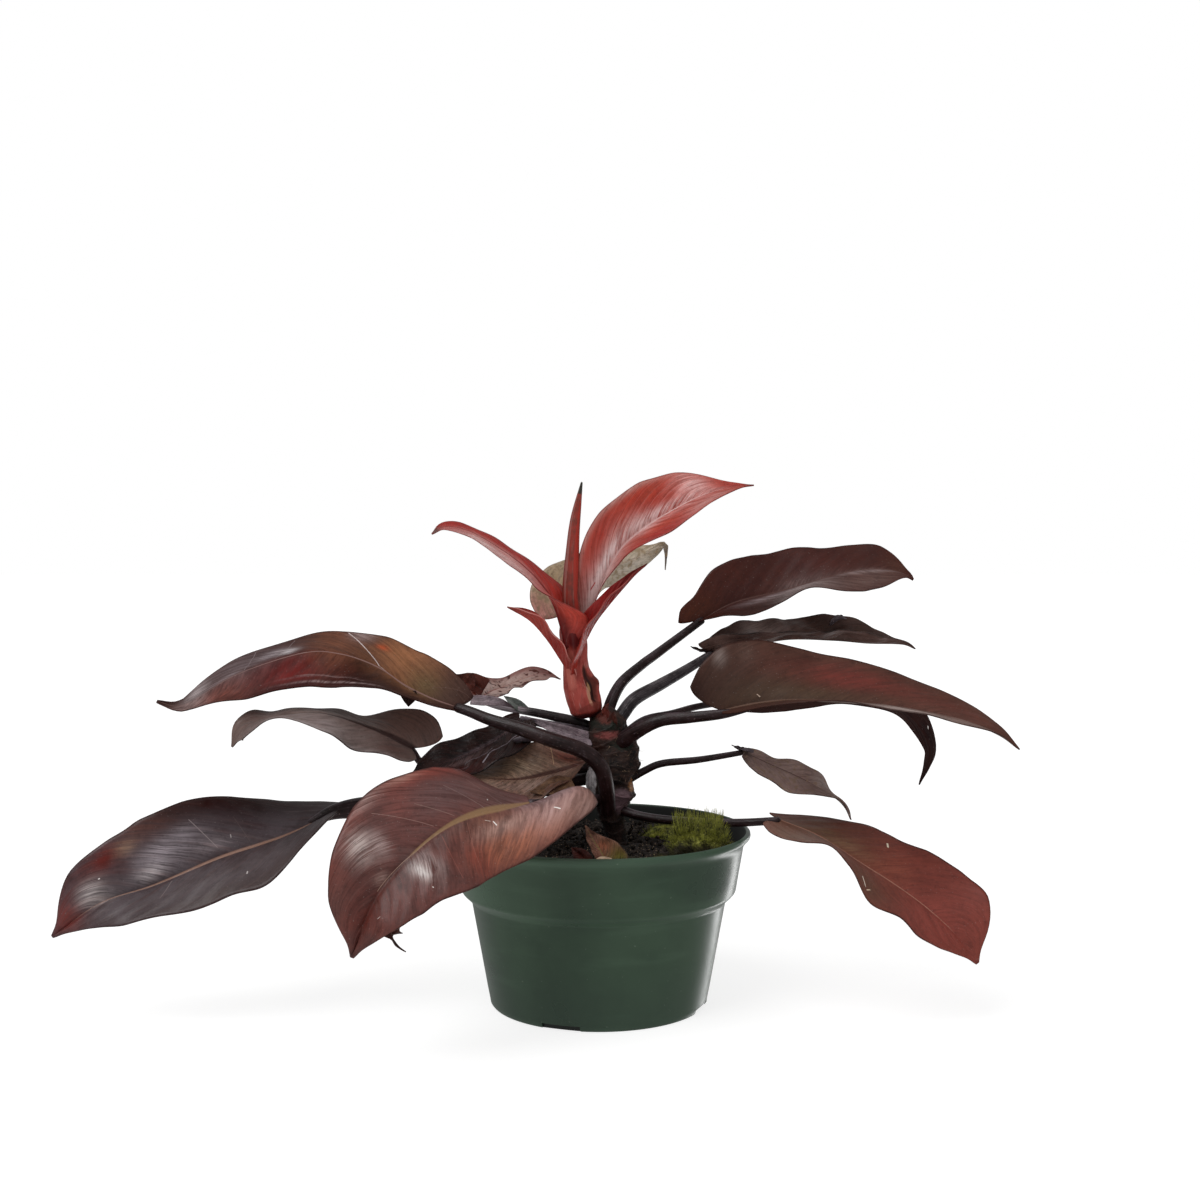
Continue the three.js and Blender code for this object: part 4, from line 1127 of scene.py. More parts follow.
blades["front"] = {
    "midrib": [[-34, -86, 123], [-60, -104, 121], [-78, -115, 113], [-96, -126, 97], [-106, -132, 82],
               [-114, -136, 60]],
    "left": wing([43, 35, 32, 33, 35, 33, 36, 40, 40], [-2, -57, -44, -38, -32], 26, 6),
    "right": wing([22, 32, 33, 36, 40, 41, 41, 43, 42], [9, 37, 50, 65, 64], 3),
    "outline": "lobed", "cup": 1.5, "ripple": 0.5, "groove": 0.9, "base": (118, 72, 66),
    "second": (92, 64, 61), "rib": (156, 124, 90), "ribWidth": 0.105, "ribEnd": 0.52, "streak": 0.36,
    "gloss": 0.36, "bend": (0.16, 0.42), "veins": 9,
    # the near-white streaky zones in the middle of both halves are painted highlights
    "zones": [
        (0.38, 0.95, 0.24, 0.16, (150, 66, 54), 0.95, 0.3),
        (0.3, 0.45, 0.22, 0.3, (110, 88, 88), 0.85, 0.5), (0.12, 0.3, 0.1, 0.4, (106, 86, 84), 0.8, 0.5),
        (0.05, 0.9, 0.14, 0.3, (92, 62, 58), 0.9, 0.2), (0.47, 0.6, 0.07, 0.2, (140, 80, 72), 0.7, 0.6),
        (0.52, 0.95, 0.06, 0.1, (196, 178, 172), 0.8, 0.8),
        (0.66, 0.62, 0.045, 0.24, (212, 196, 190), 0.95, 1),
        (0.61, 0.4, 0.03, 0.16, (206, 184, 180), 0.8, 1), (0.58, -0.34, 0.03, 0.22, (232, 224, 220), 1, 1),
        (0.53, -0.3, 0.03, 0.2, (196, 176, 172), 0.7, 1), (0.7, 0.1, 0.03, 0.1, (186, 160, 150), 0.6, 0.9),
        (0.36, -0.1, 0.12, 0.1, (108, 82, 78), 0.7, 0.5),
        (0.2, -0.65, 0.15, 0.3, (172, 106, 80), 0.95, 0.4),
        (0.34, -0.7, 0.07, 0.3, (146, 72, 60), 0.8, 0.6), (0.2, -0.15, 0.14, 0.14, (132, 88, 72), 0.7, 0.4),
        (0.0, -0.35, 0.1, 0.35, (166, 142, 146), 0.95, 0.6),
        (0.04, -0.75, 0.08, 0.2, (170, 112, 92), 0.8, 0.4),
        (0.19, -0.36, 0.11, 0.13, (186, 150, 138), 0.85, 0.5),
        (0.02, -0.86, 0.05, 0.22, (150, 124, 116), 0.9, 0.5),
        (0.05, -0.6, 0.07, 0.22, (186, 152, 146), 0.8, 0.5),
        (0.4, 0.95, 0.06, 0.08, (178, 142, 130), 0.8, 0.7),
        (0.16, 0.5, 0.05, 0.14, (126, 92, 86), 0.8, 0.7), (0.84, 0.1, 0.12, 0.5, (98, 50, 44), 0.85, 0.3),
        (0.8, 0.75, 0.08, 0.3, (116, 76, 70), 0.6, 0.6), (0.7, -0.6, 0.08, 0.4, (118, 66, 60), 0.7, 0.5),
        (0.99, 0, 0.018, 0.9, (66, 52, 50), 0.9, 0),
    ],
    "marks": [
        (0.203, -0.3, 0.206, -0.22, 0.0024, (252, 244, 238), 1),
        (0.066, -0.66, 0.069, -0.56, 0.0014, (252, 246, 240), 1),
        (0.215, -0.2, 0.23, -0.16, 0.0014, (236, 222, 210), 0.8),
        (0.6, -0.72, 0.6, -0.7, 0.002, (230, 220, 214), 1),
        (0.17, 0.2, 0.17, 0.22, 0.002, (214, 206, 200), 0.9),
        (0.54, 0.0, 0.74, 0.04, 0.002, (204, 170, 150), 0.6),
        (0.33, 0.08, 0.42, 0.5, 0.0016, (150, 120, 112), 0.6),
        (0.2, 0.05, 0.3, 0.6, 0.0014, (150, 124, 120), 0.7),
        (0.42, 0.1, 0.55, 0.75, 0.0016, (158, 122, 114), 0.6),
        (0.12, 0.1, 0.2, 0.7, 0.0014, (146, 122, 120), 0.6),
        (0.3, -0.1, 0.36, -0.8, 0.0014, (172, 112, 98), 0.5),
        (0.42, -0.1, 0.48, -0.8, 0.0014, (168, 100, 88), 0.5),
        (0.82, -0.4, 0.83, -0.38, 0.002, (220, 206, 200), 1),
    ],
}
blades["upper_left"] = {
    "midrib": [[-77, -16, 163], [-90, -18, 168], [-103, -20, 175], [-117, -23, 185], [-135, -26, 192],
               [-155, -28, 193], [-189, -31, 182], [-212, -32, 168], [-221, -32, 165], [-231, -33, 168]],
    "left": wing([10, 12, 26, 25, 23, 22, 26, 20, 24], [-20, -20, -55, -46, -24], 2),
    "right": wing([27, 28, 29, 28, 29, 25, 21, 26, 24], [66, 36, 15, 30, 44], 8),
    "cup": -1.0, "ripple": 0.5, "base": (84, 58, 54), "second": (68, 46, 44), "rib": (150, 118, 112),
    "ribWidth": 0.03, "gloss": 0.48, "shine": 0.08, "veil": 0.008, "bend": (0.1, 0.3), "veins": 8,
    "veinStrength": 0.08, "streak": 0.24,
    # the white and pale streaky zones on the far half and by its tip are painted highlights, and its lilac
    # grey-brown zone is partly painted sheen
    "zones": [
        (0.3, -0.5, 0.28, 0.8, (42, 22, 22), 1, 0.05), (0.57, -0.45, 0.15, 0.55, (112, 34, 32), 1, 0.15),
        (0.55, -0.92, 0.2, 0.12, (56, 26, 26), 0.9, 0.1), (0.8, -0.5, 0.09, 0.6, (132, 76, 66), 1, 0.5),
        (0.9, -0.4, 0.05, 0.8, (176, 152, 148), 0.9, 0.7),
        (0.4, -0.84, 0.16, 0.035, (170, 150, 150), 0.8, 1),
        (0.46, -0.66, 0.12, 0.03, (130, 108, 108), 0.7, 1), (0.1, -0.6, 0.1, 0.5, (70, 50, 46), 0.9, 0.3),
        (0.72, 0.55, 0.13, 0.7, (112, 98, 100), 1, 0.4),
        (0.87, 0.6, 0.045, 0.5, (190, 178, 178), 0.95, 0.5),
        (0.56, 0.35, 0.03, 0.16, (232, 226, 228), 1, 0.9),
        (0.61, 0.5, 0.04, 0.2, (196, 186, 190), 0.8, 0.9),
        (0.76, 0.2, 0.06, 0.14, (168, 154, 156), 0.8, 0.9), (0.43, 0.5, 0.07, 0.9, (126, 82, 64), 1, 0.3),
        (0.34, 0.92, 0.035, 0.2, (186, 168, 168), 0.95, 0.4), (0.2, 0.6, 0.12, 0.8, (164, 112, 80), 1, 0.2),
        (0.28, 0.66, 0.018, 0.08, (186, 88, 56), 0.8, 0.1), (0.12, 0.3, 0.06, 0.4, (112, 96, 70), 0.9, 0.3),
        (0.04, 0.5, 0.05, 0.7, (84, 66, 60), 0.95, 0.3), (0.97, 0.2, 0.03, 0.6, (86, 66, 60), 0.8, 0),
    ],
    # the first three marks are a painted highlight along a fold
    "marks": [
        (0.385, 0.95, 0.34, 0.6, 0.0026, (222, 206, 204), 0.9),
        (0.34, 0.6, 0.27, 0.05, 0.0024, (222, 206, 204), 0.9),
        (0.27, 0.05, 0.12, -0.1, 0.0022, (190, 172, 168), 0.8),
        (0.55, -0.62, 0.3, -0.7, 0.0016, (160, 134, 132), 0.6),
        (0.5, 0.02, 0.95, 0.0, 0.0018, (170, 140, 134), 0.7),
        (0.1, 0.3, 0.0, 0.8, 0.002, (110, 84, 76), 0.6),
        (0.6, 0.1, 0.54, 0.9, 0.0012, (170, 156, 158), 0.6),
        (0.7, 0.1, 0.66, 0.9, 0.0012, (168, 154, 156), 0.6),
    ],
}
blades["spotted"] = {
    "midrib": [[-65, 16, 164], [-62, 40, 165], [-55, 62, 166], [-44, 80, 169], [-33, 90, 171],
               [-23, 94, 167]],
    "left": wing([13, 15, 12, 14, 9, 10, 13, 20, 16], [35, 45, 25, 20, 40], 5),
    "right": wing([13, 14, 11, 10, 11, 10, 12, 20, 14], [5, 0, 0, -13, -25], 4),
    "base": (204, 176, 168), "second": (176, 142, 132), "rib": (150, 84, 76), "gloss": 0.42,
    "edge": (110, 54, 50), "spots": ((84, 44, 38), 230, 0.56, 0.62), "veinStrength": 0.1,
    "zones": [
        (0.5, -0.9, 0.6, 0.35, (122, 56, 50), 0.9, 0.2), (0.92, 0, 0.14, 2, (112, 52, 48), 0.9, 0.2),
        (0.02, 0, 0.1, 2, (96, 54, 46), 0.7, 0.3),
    ],
}
blades["mid_left"] = {
    "midrib": [[-100, -18, 141], [-119, -28, 153], [-142, -38, 162], [-160, -42, 162], [-176, -44, 159],
               [-185, -43, 154], [-190, -42, 145]],
    "left": wing([22, 15, 16, 20, 24, 18, 22, 40, 28], [-35, -56, -20, -2, -60], 3),
    "right": wing([40, 26, 16, 18, 17, 13, 21, 26, 26], [85, 50, 18, 8, 4, 6, 8, 45, 80], 14),
    "base": (142, 124, 118), "second": (112, 92, 86), "rib": (52, 32, 28), "ribWidth": 0.13, "ribEnd": 0.62,
    "gloss": 0.42, "veinStrength": 0.1, "streak": 0.34,
    # the grey-lilac zones along the blade are painted highlights
    "zones": [
        (0.04, 0.6, 0.2, 0.9, (122, 92, 84), 0.9, 0.2), (0.55, -0.55, 0.3, 0.5, (152, 138, 138), 0.7, 0.6),
        (0.82, 0.4, 0.12, 0.8, (82, 60, 56), 0.7, 0.3), (0.1, -0.6, 0.12, 0.5, (92, 62, 56), 0.7, 0.3),
        (0.5, -0.95, 0.4, 0.1, (170, 160, 160), 0.7, 0.5),
    ],
}
blades["dark_left"] = {
    "midrib": [[-43, -2, 155], [-54, -12, 146], [-69, -24, 139], [-84, -36, 135], [-97, -46, 131]],
    "left": wing([20, 18, 18, 19, 19], [-35, -17, -19, -29, -30], 4),
    "right": wing([8, 9, 12, 16, 18], [55, 50, 45, 45, 50], 2),
    "crumple": 2.4, "base": (38, 26, 25), "second": (56, 40, 38), "rib": (70, 50, 48), "vein": (84, 60, 58),
    "gloss": 0.26, "edge": (24, 16, 16), "bump": 0.8, "wrinkle": 0.8,
    # the lilac-grey zones and the pale marks are painted highlights on the near-black blade
    "zones": [
        (0.35, 0.0, 0.22, 0.1, (150, 138, 146), 0.7, 1), (0.6, -0.3, 0.16, 0.1, (112, 92, 92), 0.6, 1),
        (0.7, -0.7, 0.2, 0.3, (84, 40, 36), 0.6, 0.4),
    ],
    "marks": [
        (0.15, -0.42, 0.42, -0.5, 0.005, (150, 140, 148), 0.7),
        (0.42, -0.5, 0.5, -0.7, 0.008, (166, 158, 166), 0.7),
        (0.36, -0.4, 0.6, -0.42, 0.003, (140, 130, 138), 0.6),
        (0.6, -0.6, 0.9, -0.5, 0.003, (128, 112, 118), 0.6),
    ],
}
blades["brown_left"] = {
    "midrib": [[-7, -14, 133], [-21, -20, 129], [-41, -27, 126], [-60, -34, 127], [-72, -40, 124]],
    "left": wing([1, 13, 19, 21, 22], [-45, -18, -37, -48, -50]),
    "right": wing([19, 20, 24, 29, 27], [11, 46, 42, 12, 39], 2),
    "base": (132, 108, 94), "second": (94, 70, 60), "rib": (58, 36, 30), "ribWidth": 0.14, "ribEnd": 0.75,
    "gloss": 0.45, "lit": 0.84, "streak": 0.5, "tooth": 0.5, "bump": 0.8,
    "zones": [
        (0.1, 0.55, 0.12, 0.34, (114, 60, 52), 0.95, 0.2), (0.5, -0.7, 0.3, 0.25, (86, 64, 56), 0.8, 0.6),
        (0.5, 0.35, 0.2, 0.3, (146, 128, 106), 0.8, 0.8), (0.5, -0.3, 0.3, 0.2, (120, 104, 98), 0.7, 0.9),
        (0.75, 0.3, 0.16, 0.5, (112, 92, 76), 0.8, 0.4), (0.0, -0.3, 0.1, 0.6, (56, 34, 30), 0.9, 0.2),
        (0.3, -0.9, 0.3, 0.16, (70, 46, 38), 0.8, 0.3),
    ],
    "marks": [
        (0.2, 0.9, 0.24, 0.25, 0.003, (196, 160, 128), 0.8),
        (0.3, 0.2, 0.6, 0.9, 0.0024, (70, 52, 44), 0.6),
        (0.35, 0.1, 0.75, 0.8, 0.0024, (160, 142, 120), 0.6),
        (0.3, -0.2, 0.7, -0.8, 0.0024, (152, 136, 128), 0.6),
    ],
}
blades["hidden_front"] = {
    "midrib": [[-65, -70, 122], [-79, -84, 105], [-91, -92, 86], [-99, -95, 70], [-101, -96, 61],
               [-99, -96, 56], [-94, -96, 52]],
    "left": wing([15, 15], -10, 8), "right": wing([15, 15], 10, 8),
    "base": (84, 58, 54), "second": (66, 44, 42),
}
blades["upper_right"] = {
    "midrib": [[59, 34, 207], [77, 38, 216], [106, 44, 223], [130, 48, 230], [149, 52, 234], [167, 54, 234],
               [177, 56, 231], [181, 56, 228]],
    "left": wing([32, 29, 26, 26, 28, 26, 30, 41, 40], [85, 72, 62, 56, 50, 46, 47, 52, 60], 14),
    "right": wing([26, 20, 12, 8, 8, 18, 26, 31, 28], [10, -45, -25, -46, -38], 4),
    "outline": "eared", "base": (80, 44, 38), "second": (66, 37, 33), "rib": (96, 68, 62), "ribWidth": 0.03,
    "gloss": 0.45, "veinStrength": 0.05, "streak": 0.2, "dust": 0.1, "bump": 0.2, "vein": (100, 62, 56),
    # the pale lilac-grey zones are painted sheen, a reflection of the bright surroundings
    "zones": [
        (0.02, -0.5, 0.08, 0.6, (92, 50, 36), 0.85, 0.1), (0.3, 0.75, 0.2, 0.35, (66, 46, 42), 0.9, 0.2),
        (0.3, 0.3, 0.14, 0.16, (158, 142, 144), 0.75, 0.7),
        (0.48, 0.5, 0.12, 0.5, (180, 166, 164), 0.85, 0.6), (0.75, 0.6, 0.2, 0.5, (118, 94, 88), 0.85, 0.4),
        (0.78, 0.1, 0.18, 0.1, (168, 150, 148), 0.6, 0.7), (0.92, -0.3, 0.06, 0.6, (92, 62, 52), 0.6, 0.2),
        (0.55, -0.5, 0.12, 0.4, (92, 50, 46), 0.5, 0.4),
    ],
}
blades["crumpled_right"] = {
    "midrib": [[63, 30, 189], [77, 34, 190], [106, 42, 195], [135, 50, 194], [155, 54, 192], [175, 58, 191],
               [183, 58, 188]],
    "left": wing([16, 18, 20, 18, 21, 20, 21, 18, 17], [67, 39, 41, 60, 33], 2),
    "right": wing([16, 14, 13, 13, 13, 14, 16, 16, 17], [67, 33, 26, 35, 39], 8),
    "crumple": 4.4, "base": (112, 86, 79), "second": (74, 54, 49), "rib": (70, 54, 50),
    "vein": (84, 66, 62), "gloss": 0.42, "edge": (34, 26, 24), "bump": 0.9, "wrinkle": 1.0,
    "veinStrength": 0.1, "dust": 0.1,
    # the pale zones along the ridge are painted highlights, and the near-black zone is painted shade in a
    # fold
    "zones": [
        (0.25, -0.5, 0.14, 0.12, (164, 150, 148), 0.7, 0.5),
        (0.27, -0.7, 0.1, 0.3, (178, 154, 146), 0.9, 0.3), (0.55, -0.5, 0.12, 0.4, (94, 68, 58), 0.8, 0.3),
        (0.74, -0.4, 0.03, 0.3, (124, 96, 82), 0.8, 0.2),
        (0.88, -0.6, 0.06, 0.3, (118, 104, 100), 0.6, 0.5), (0.62, -0.2, 0.08, 0.3, (34, 22, 20), 0.9, 0),
    ],
}
blades["long_right"] = {
    "midrib": [[65, -26, 162], [84, -28, 166], [105, -30, 168], [136, -32, 167], [158, -34, 165],
               [188, -36, 159], [208, -37, 151], [219, -38, 143]],
    "left": wing([46, 41, 34, 32, 31, 33, 32, 34, 34], [85, 52, 38, 27, 38], 14),
    "right": wing([12, 20, 26, 28, 29, 29, 28, 26, 26], [-15, -2, 5, 5, 4, 0, -3, 0, 4]),
    "base": (96, 66, 57), "second": (72, 50, 44), "rib": (112, 84, 70), "ribWidth": 0.03, "gloss": 0.5,
    "shine": 0.18, "veinStrength": 0.05, "streak": 0.22, "bump": 0.2, "vein": (120, 88, 76),
    # the pale zone near the base and the pale strip by the margin are painted highlights
    "zones": [
        (0.075, -0.85, 0.014, 0.14, (186, 170, 164), 1, 0.6),
        (0.1, -0.3, 0.09, 0.5, (70, 54, 48), 0.9, 0.2), (0.13, -0.8, 0.02, 0.2, (104, 82, 74), 0.8, 0.5),
        (0.06, -0.5, 0.06, 0.6, (72, 56, 50), 0.7, 0.3), (0.42, -0.5, 0.2, 0.3, (124, 60, 54), 0.95, 0.3),
        (0.3, -0.1, 0.2, 0.14, (98, 76, 60), 0.9, 0.4), (0.58, -0.15, 0.2, 0.14, (92, 68, 58), 0.8, 0.4),
        (0.72, -0.3, 0.2, 0.5, (112, 64, 56), 0.75, 0.4), (0.2, -0.15, 0.15, 0.3, (84, 66, 52), 0.8, 0.3),
        (0.6, 0.75, 0.16, 0.35, (200, 184, 178), 0.9, 0.5),
        (0.78, 0.6, 0.14, 0.5, (142, 116, 108), 0.8, 0.5), (0.15, 0.7, 0.2, 0.5, (82, 58, 52), 0.85, 0.2),
        (0.0, -0.7, 0.035, 0.6, (52, 38, 35), 0.8, 0.2),
    ],
    "marks": [(0.13, -0.14, 0.135, -0.1, 0.002, (216, 190, 170), 1)],
}
blades["drooping_right"] = {
    "midrib": [[79, 34, 161], [108, 40, 166], [137, 46, 165], [165, 52, 158], [182, 56, 147],
               [191, 58, 132], [190, 58, 121], [186, 58, 109]],
    "left": wing([17, 16, 16, 15, 15, 16, 24, 24, 19], [0, 0, 0, -3, -5, 10, 34, 40, 45], 6),
    "right": wing([17, 17, 16, 16, 18], [-10, -13, -4, -26, -45], 6),
    "face": [1, 0, 0.6], "base": (54, 36, 33), "second": (42, 29, 27), "rib": (60, 40, 36), "gloss": 0.62,
    "shine": 0.12, "veinStrength": 0.05, "dust": 0.1, "streak": 0.08,
    "zones": [(0.2, 0, 0.2, 2, (72, 54, 50), 0.6, 0.5)],
    "marks": [(0.79, -0.6, 0.795, -0.56, 0.005, (230, 224, 220), 1)],
}
blades["small_right"] = {
    "midrib": [[79, 2, 136], [93, 0, 130], [109, -2, 123], [122, -4, 116], [130, -4, 111], [135, -4, 105],
               [137, -4, 100]],
    "left": wing([4, 10, 9, 11, 12, 13, 8, 10, 10], [18, 21, 36, 17, 25], 6),
    "right": wing([16, 13, 13, 14, 14, 15, 15, 22, 16], [-18, -32, -33, 3, -19]),
    "base": (168, 142, 134), "second": (134, 106, 100), "rib": (90, 62, 56), "gloss": 0.44,
    "veinStrength": 0.08, "spots": ((148, 122, 106), 420, 0.56, 0.66),
    "zones": [
        (0.66, -0.6, 0.1, 0.5, (170, 158, 152), 0.7, 0.6), (0.97, 0, 0.1, 2, (80, 58, 52), 0.8, 0.2),
        (0.02, 0, 0.06, 2, (74, 54, 50), 0.8, 0.2),
    ],
}
blades["low_right"] = {
    "midrib": [[97, -22, 103], [116, -28, 96], [136, -36, 84], [153, -42, 74], [170, -46, 62],
               [185, -50, 48], [195, -52, 34]],
    "left": wing([20, 29, 32, 33, 34, 39, 47, 65, 62], [-2, 15, 30, 49, 80], 8),
    "right": wing([20, 19, 28, 27, 35, 30, 38, 35, 30], [-39, -12, 12, 6, -14, -18, -22, -35, -52], 8),
    "base": (136, 70, 61), "second": (118, 60, 52), "rib": (176, 128, 110), "ribWidth": 0.03, "ribEnd": 0.8,
    "gloss": 0.44, "veinStrength": 0.06, "streak": 0.22, "vein": (160, 96, 84), "bend": (0.3, 0.3),
    "zones": [
        (0.08, -0.3, 0.3, 0.9, (100, 76, 60), 0.97, 0.3), (0.12, 0.7, 0.2, 0.5, (134, 112, 100), 0.85, 0.3),
        (0.3, -0.2, 0.12, 0.2, (140, 110, 82), 0.6, 0.7), (0.44, 0.7, 0.12, 0.5, (94, 72, 56), 0.9, 0.3),
        (0.5, -0.3, 0.1, 0.4, (150, 84, 68), 0.6, 0.6), (0.8, 0.1, 0.14, 0.9, (146, 74, 66), 0.7, 0.3),
    ],
    "marks": [
        (0.42, -0.76, 0.43, -0.68, 0.005, (250, 236, 210), 1),
        (0.42, 0.68, 0.45, 0.8, 0.003, (250, 232, 214), 1),
        (0.47, 0.7, 0.46, 0.84, 0.0022, (240, 210, 180), 0.9),
        (0.44, 0.0, 0.75, 0.02, 0.002, (206, 160, 140), 0.8),
    ],
}
blades["young_back"] = {
    "midrib": [[-13, 20, 214], [-7, 26, 224], [1, 32, 232], [11, 38, 237], [23, 44, 241], [31, 48, 245],
               [37, 50, 248], [38, 50, 244], [38, 50, 234]],
    "left": wing([44, 30, 18, 16, 15, 12, 6, 4, 5], [10, 10, 0, 0, 0], 17),
    "right": wing([11, 11, 10, 13, 15, 12, 7, 3, 3], [-40, -50, -55, -50, -40], 13),
    "face": [0, -1, 0.2], "base": (184, 172, 150), "second": (158, 140, 118), "rib": (172, 152, 138),
    "vein": (176, 160, 146), "edge": (130, 112, 98), "gloss": 0.44, "lit": 0.95, "dust": 0.1, "veins": 15,
    "veinStrength": 0.2, "streak": 0.3, "tooth": 0.5, "spots": ((144, 126, 102), 340, 0.46, 0.76),
    "zones": [
        (0.0, -0.7, 0.07, 0.5, (216, 146, 146), 1, 0.1), (0.93, 0, 0.12, 2, (70, 60, 60), 0.95, 0),
        (0.12, -0.6, 0.14, 0.5, (160, 136, 104), 0.8, 0.3), (0.6, 0.3, 0.3, 0.6, (196, 186, 172), 0.7, 0.7),
    ],
}
blades["new_red"] = {
    **redDefaults, "midrib": [[-9, 1, 205], [-2, 0, 220], [4, -3, 233], [12, -6, 247], [24, -8, 258],
               [40, -8, 268], [56, -8, 276], [72, -8, 280], [83, -8, 281]],
    "left": wing([22, 22, 22, 22, 22, 23, 24, 17, 18], [6, 8, 10, -20, -45]),
    "right": wing([12, 7, 7, 17, 21, 22, 22, 17, 18], [55, 72, 60, 54, 58]),
    "outline": "spear", "face": [0, -1, 0.2], "base": (200, 78, 60), "second": (170, 58, 46),
    "rib": (226, 186, 182), "ribWidth": 0.05, "vein": (226, 170, 164), "veinStrength": 0.12, "streak": 0.3,
    "veins": 15, "bend": (0.34, 0.3), "edge": (120, 48, 44),
    "zones": [
        (0.42, -0.97, 0.3, 0.1, (196, 160, 152), 0.8, 0.4),
        (0.24, -0.14, 0.22, 0.22, (232, 202, 200), 1, 0.9),
        (0.16, -0.34, 0.1, 0.3, (226, 184, 180), 0.9, 1), (0.4, -0.3, 0.08, 0.3, (218, 164, 156), 0.85, 1),
        (0.62, -0.12, 0.22, 0.14, (228, 196, 194), 0.9, 1),
        (0.76, -0.45, 0.07, 0.5, (230, 180, 176), 0.9, 0.7), (0.2, 0.5, 0.17, 0.8, (232, 204, 200), 1, 0.3),
        (0.3, -0.2, 0.1, 0.1, (244, 222, 220), 1, 0.8), (0.55, 0.9, 0.16, 0.3, (168, 60, 58), 0.9, 0.2),
        (0.62, 0.2, 0.2, 0.14, (220, 164, 160), 0.7, 1), (0.35, -0.66, 0.14, 0.26, (176, 58, 46), 0.8, 0.3),
        (0.8, 0.7, 0.12, 0.4, (214, 172, 168), 0.7, 0.6), (0.92, -0.4, 0.06, 0.6, (170, 62, 56), 0.8, 0.2),
        (0.12, -0.05, 0.09, 0.5, (236, 208, 206), 0.9, 0.7),
        (0.5, -0.05, 0.06, 0.3, (236, 204, 200), 0.8, 1), (0.03, 0, 0.08, 2, (214, 188, 182), 0.9, 0.5),
        (0.99, 0, 0.02, 2, (90, 66, 60), 0.9, 0),
    ],
    "marks": [
        (0.09, 0.2, 0.11, 0.3, 0.006, (176, 44, 46), 0.9),
        (0.16, -0.34, 0.19, -0.26, 0.008, (176, 44, 46), 0.9),
        (0.2, 0.1, 0.21, 0.14, 0.004, (170, 50, 54), 0.8),
        (0.06, -0.2, 0.08, -0.1, 0.005, (190, 70, 66), 0.8),
    ],
}
blades["left_red"] = {
    **redDefaults, "midrib": [[-18, -6, 193.5], [-21, -8, 207], [-25, -10, 219], [-32, -12, 230],
               [-42, -15, 240], [-56, -18, 250], [-69, -20, 257], [-81, -21, 259], [-88, -22, 255]],
    "left": wing([8, 18, 8, 5.5, 6.5, 6, 7, 8, 9], [84, 66, 20, -40, -50, -51, -50, -49, -48]),
    "right": wing([6, 12, 15, 12, 13, 13, 13, 18, 14], [80, 56, 46, 24, 20, 14, 14, 24, 39]),
    "outline": "sheath", "face": [0.5, 0, 1], "base": (182, 62, 54), "second": (166, 50, 46),
    "rib": (120, 40, 40), "ribWidth": 0.12, "edge": (116, 52, 48), "veinStrength": 0.2,
    "zones": [
        (0.62, -0.75, 0.3, 0.55, (234, 208, 204), 1, 0.35),
        (0.58, -0.1, 0.3, 0.24, (220, 166, 160), 0.85, 0.5), (0.17, -0.6, 0.12, 0.7, (226, 92, 78), 1, 0.2),
        (0.22, 0.6, 0.1, 0.5, (190, 74, 64), 0.8, 0.3), (0.08, -0.15, 0.14, 0.2, (92, 34, 32), 0.95, 0.2),
        (0.6, 0.9, 0.34, 0.14, (150, 70, 64), 0.7, 0.3), (0.0, 0, 0.05, 2, (110, 46, 44), 0.9, 0.1),
        (0.98, 0, 0.03, 2, (92, 70, 66), 0.9, 0),
    ],
}
# the pointed sheaths and the dry scale leaf, whose CAD nodes have the same names
sheaths = {}
sheaths["right_sheath"] = {
    **redDefaults, "midrib": [[-13, -6, 180], [-10, -8, 191], [-3, -9, 206], [5, -10, 217],
               [14, -10, 227.5], [20, -10, 234], [26, -10, 239]],
    "left": wing([8, 9, 8, 7, 6], [20, 25, 35, 40, 50]),
    "right": wing([8, 9, 8, 7, 6], [45, 45, 50, 50, 50]),
    "outline": "sheath", "face": [-0.7, -0.5, 0.5], "base": (150, 40, 38), "second": (116, 28, 30),
    "vein": (170, 70, 64), "rib": (110, 30, 32), "edge": (176, 92, 84), "veinStrength": 0.15,
    "zones": [(0.12, 0, 0.2, 2, (188, 74, 62), 0.8, 0.2), (0.9, 0, 0.1, 2, (132, 50, 46), 0.8, 0)],
}
sheaths["small_left_sheath"] = {
    **redDefaults, "midrib": [[-15, -3, 178], [-21, -5, 188], [-28, -8, 199], [-37, -10, 209],
               [-49, -11, 216]],
    "left": wing([8, 10, 10, 14, 12], 50), "right": wing([6, 7, 5, 8, 8], 50),
    "outline": "sheath", "face": [0.7, -0.3, 0.6], "base": (190, 84, 74), "second": (164, 60, 56),
    "edge": (214, 150, 142), "rib": (150, 48, 46), "veinStrength": 0.15,
    "zones": [(0.1, 0, 0.2, 2, (176, 66, 58), 0.8, 0.2), (0.97, 0, 0.05, 2, (130, 70, 60), 0.9, 0)],
}
sheaths["dry_bract"] = {
    "slot": "bract", "midrib": [[5, -52, 83], [2, -48, 90], [-3, -44, 97], [-7, -42, 104]],
    "left": wing([5, 5, 4, 4, 3], 20), "right": wing([16, 12, 8, 5, 3], 20),
    "outline": "sheath", "face": [0, -1, 0.3], "crumple": 1.6, "base": (144, 106, 88),
    "second": (104, 68, 58), "streak": 0.5, "rib": (130, 116, 70), "gloss": 0.6, "bump": 1.0,
    "zones": [
        (0.1, 0.6, 0.2, 0.5, (122, 122, 48), 0.9, 0.2), (0.45, 0.3, 0.14, 0.4, (176, 106, 78), 0.8, 0.4),
        (0.2, -0.6, 0.3, 0.4, (110, 60, 50), 0.8, 0.4),
    ],
}
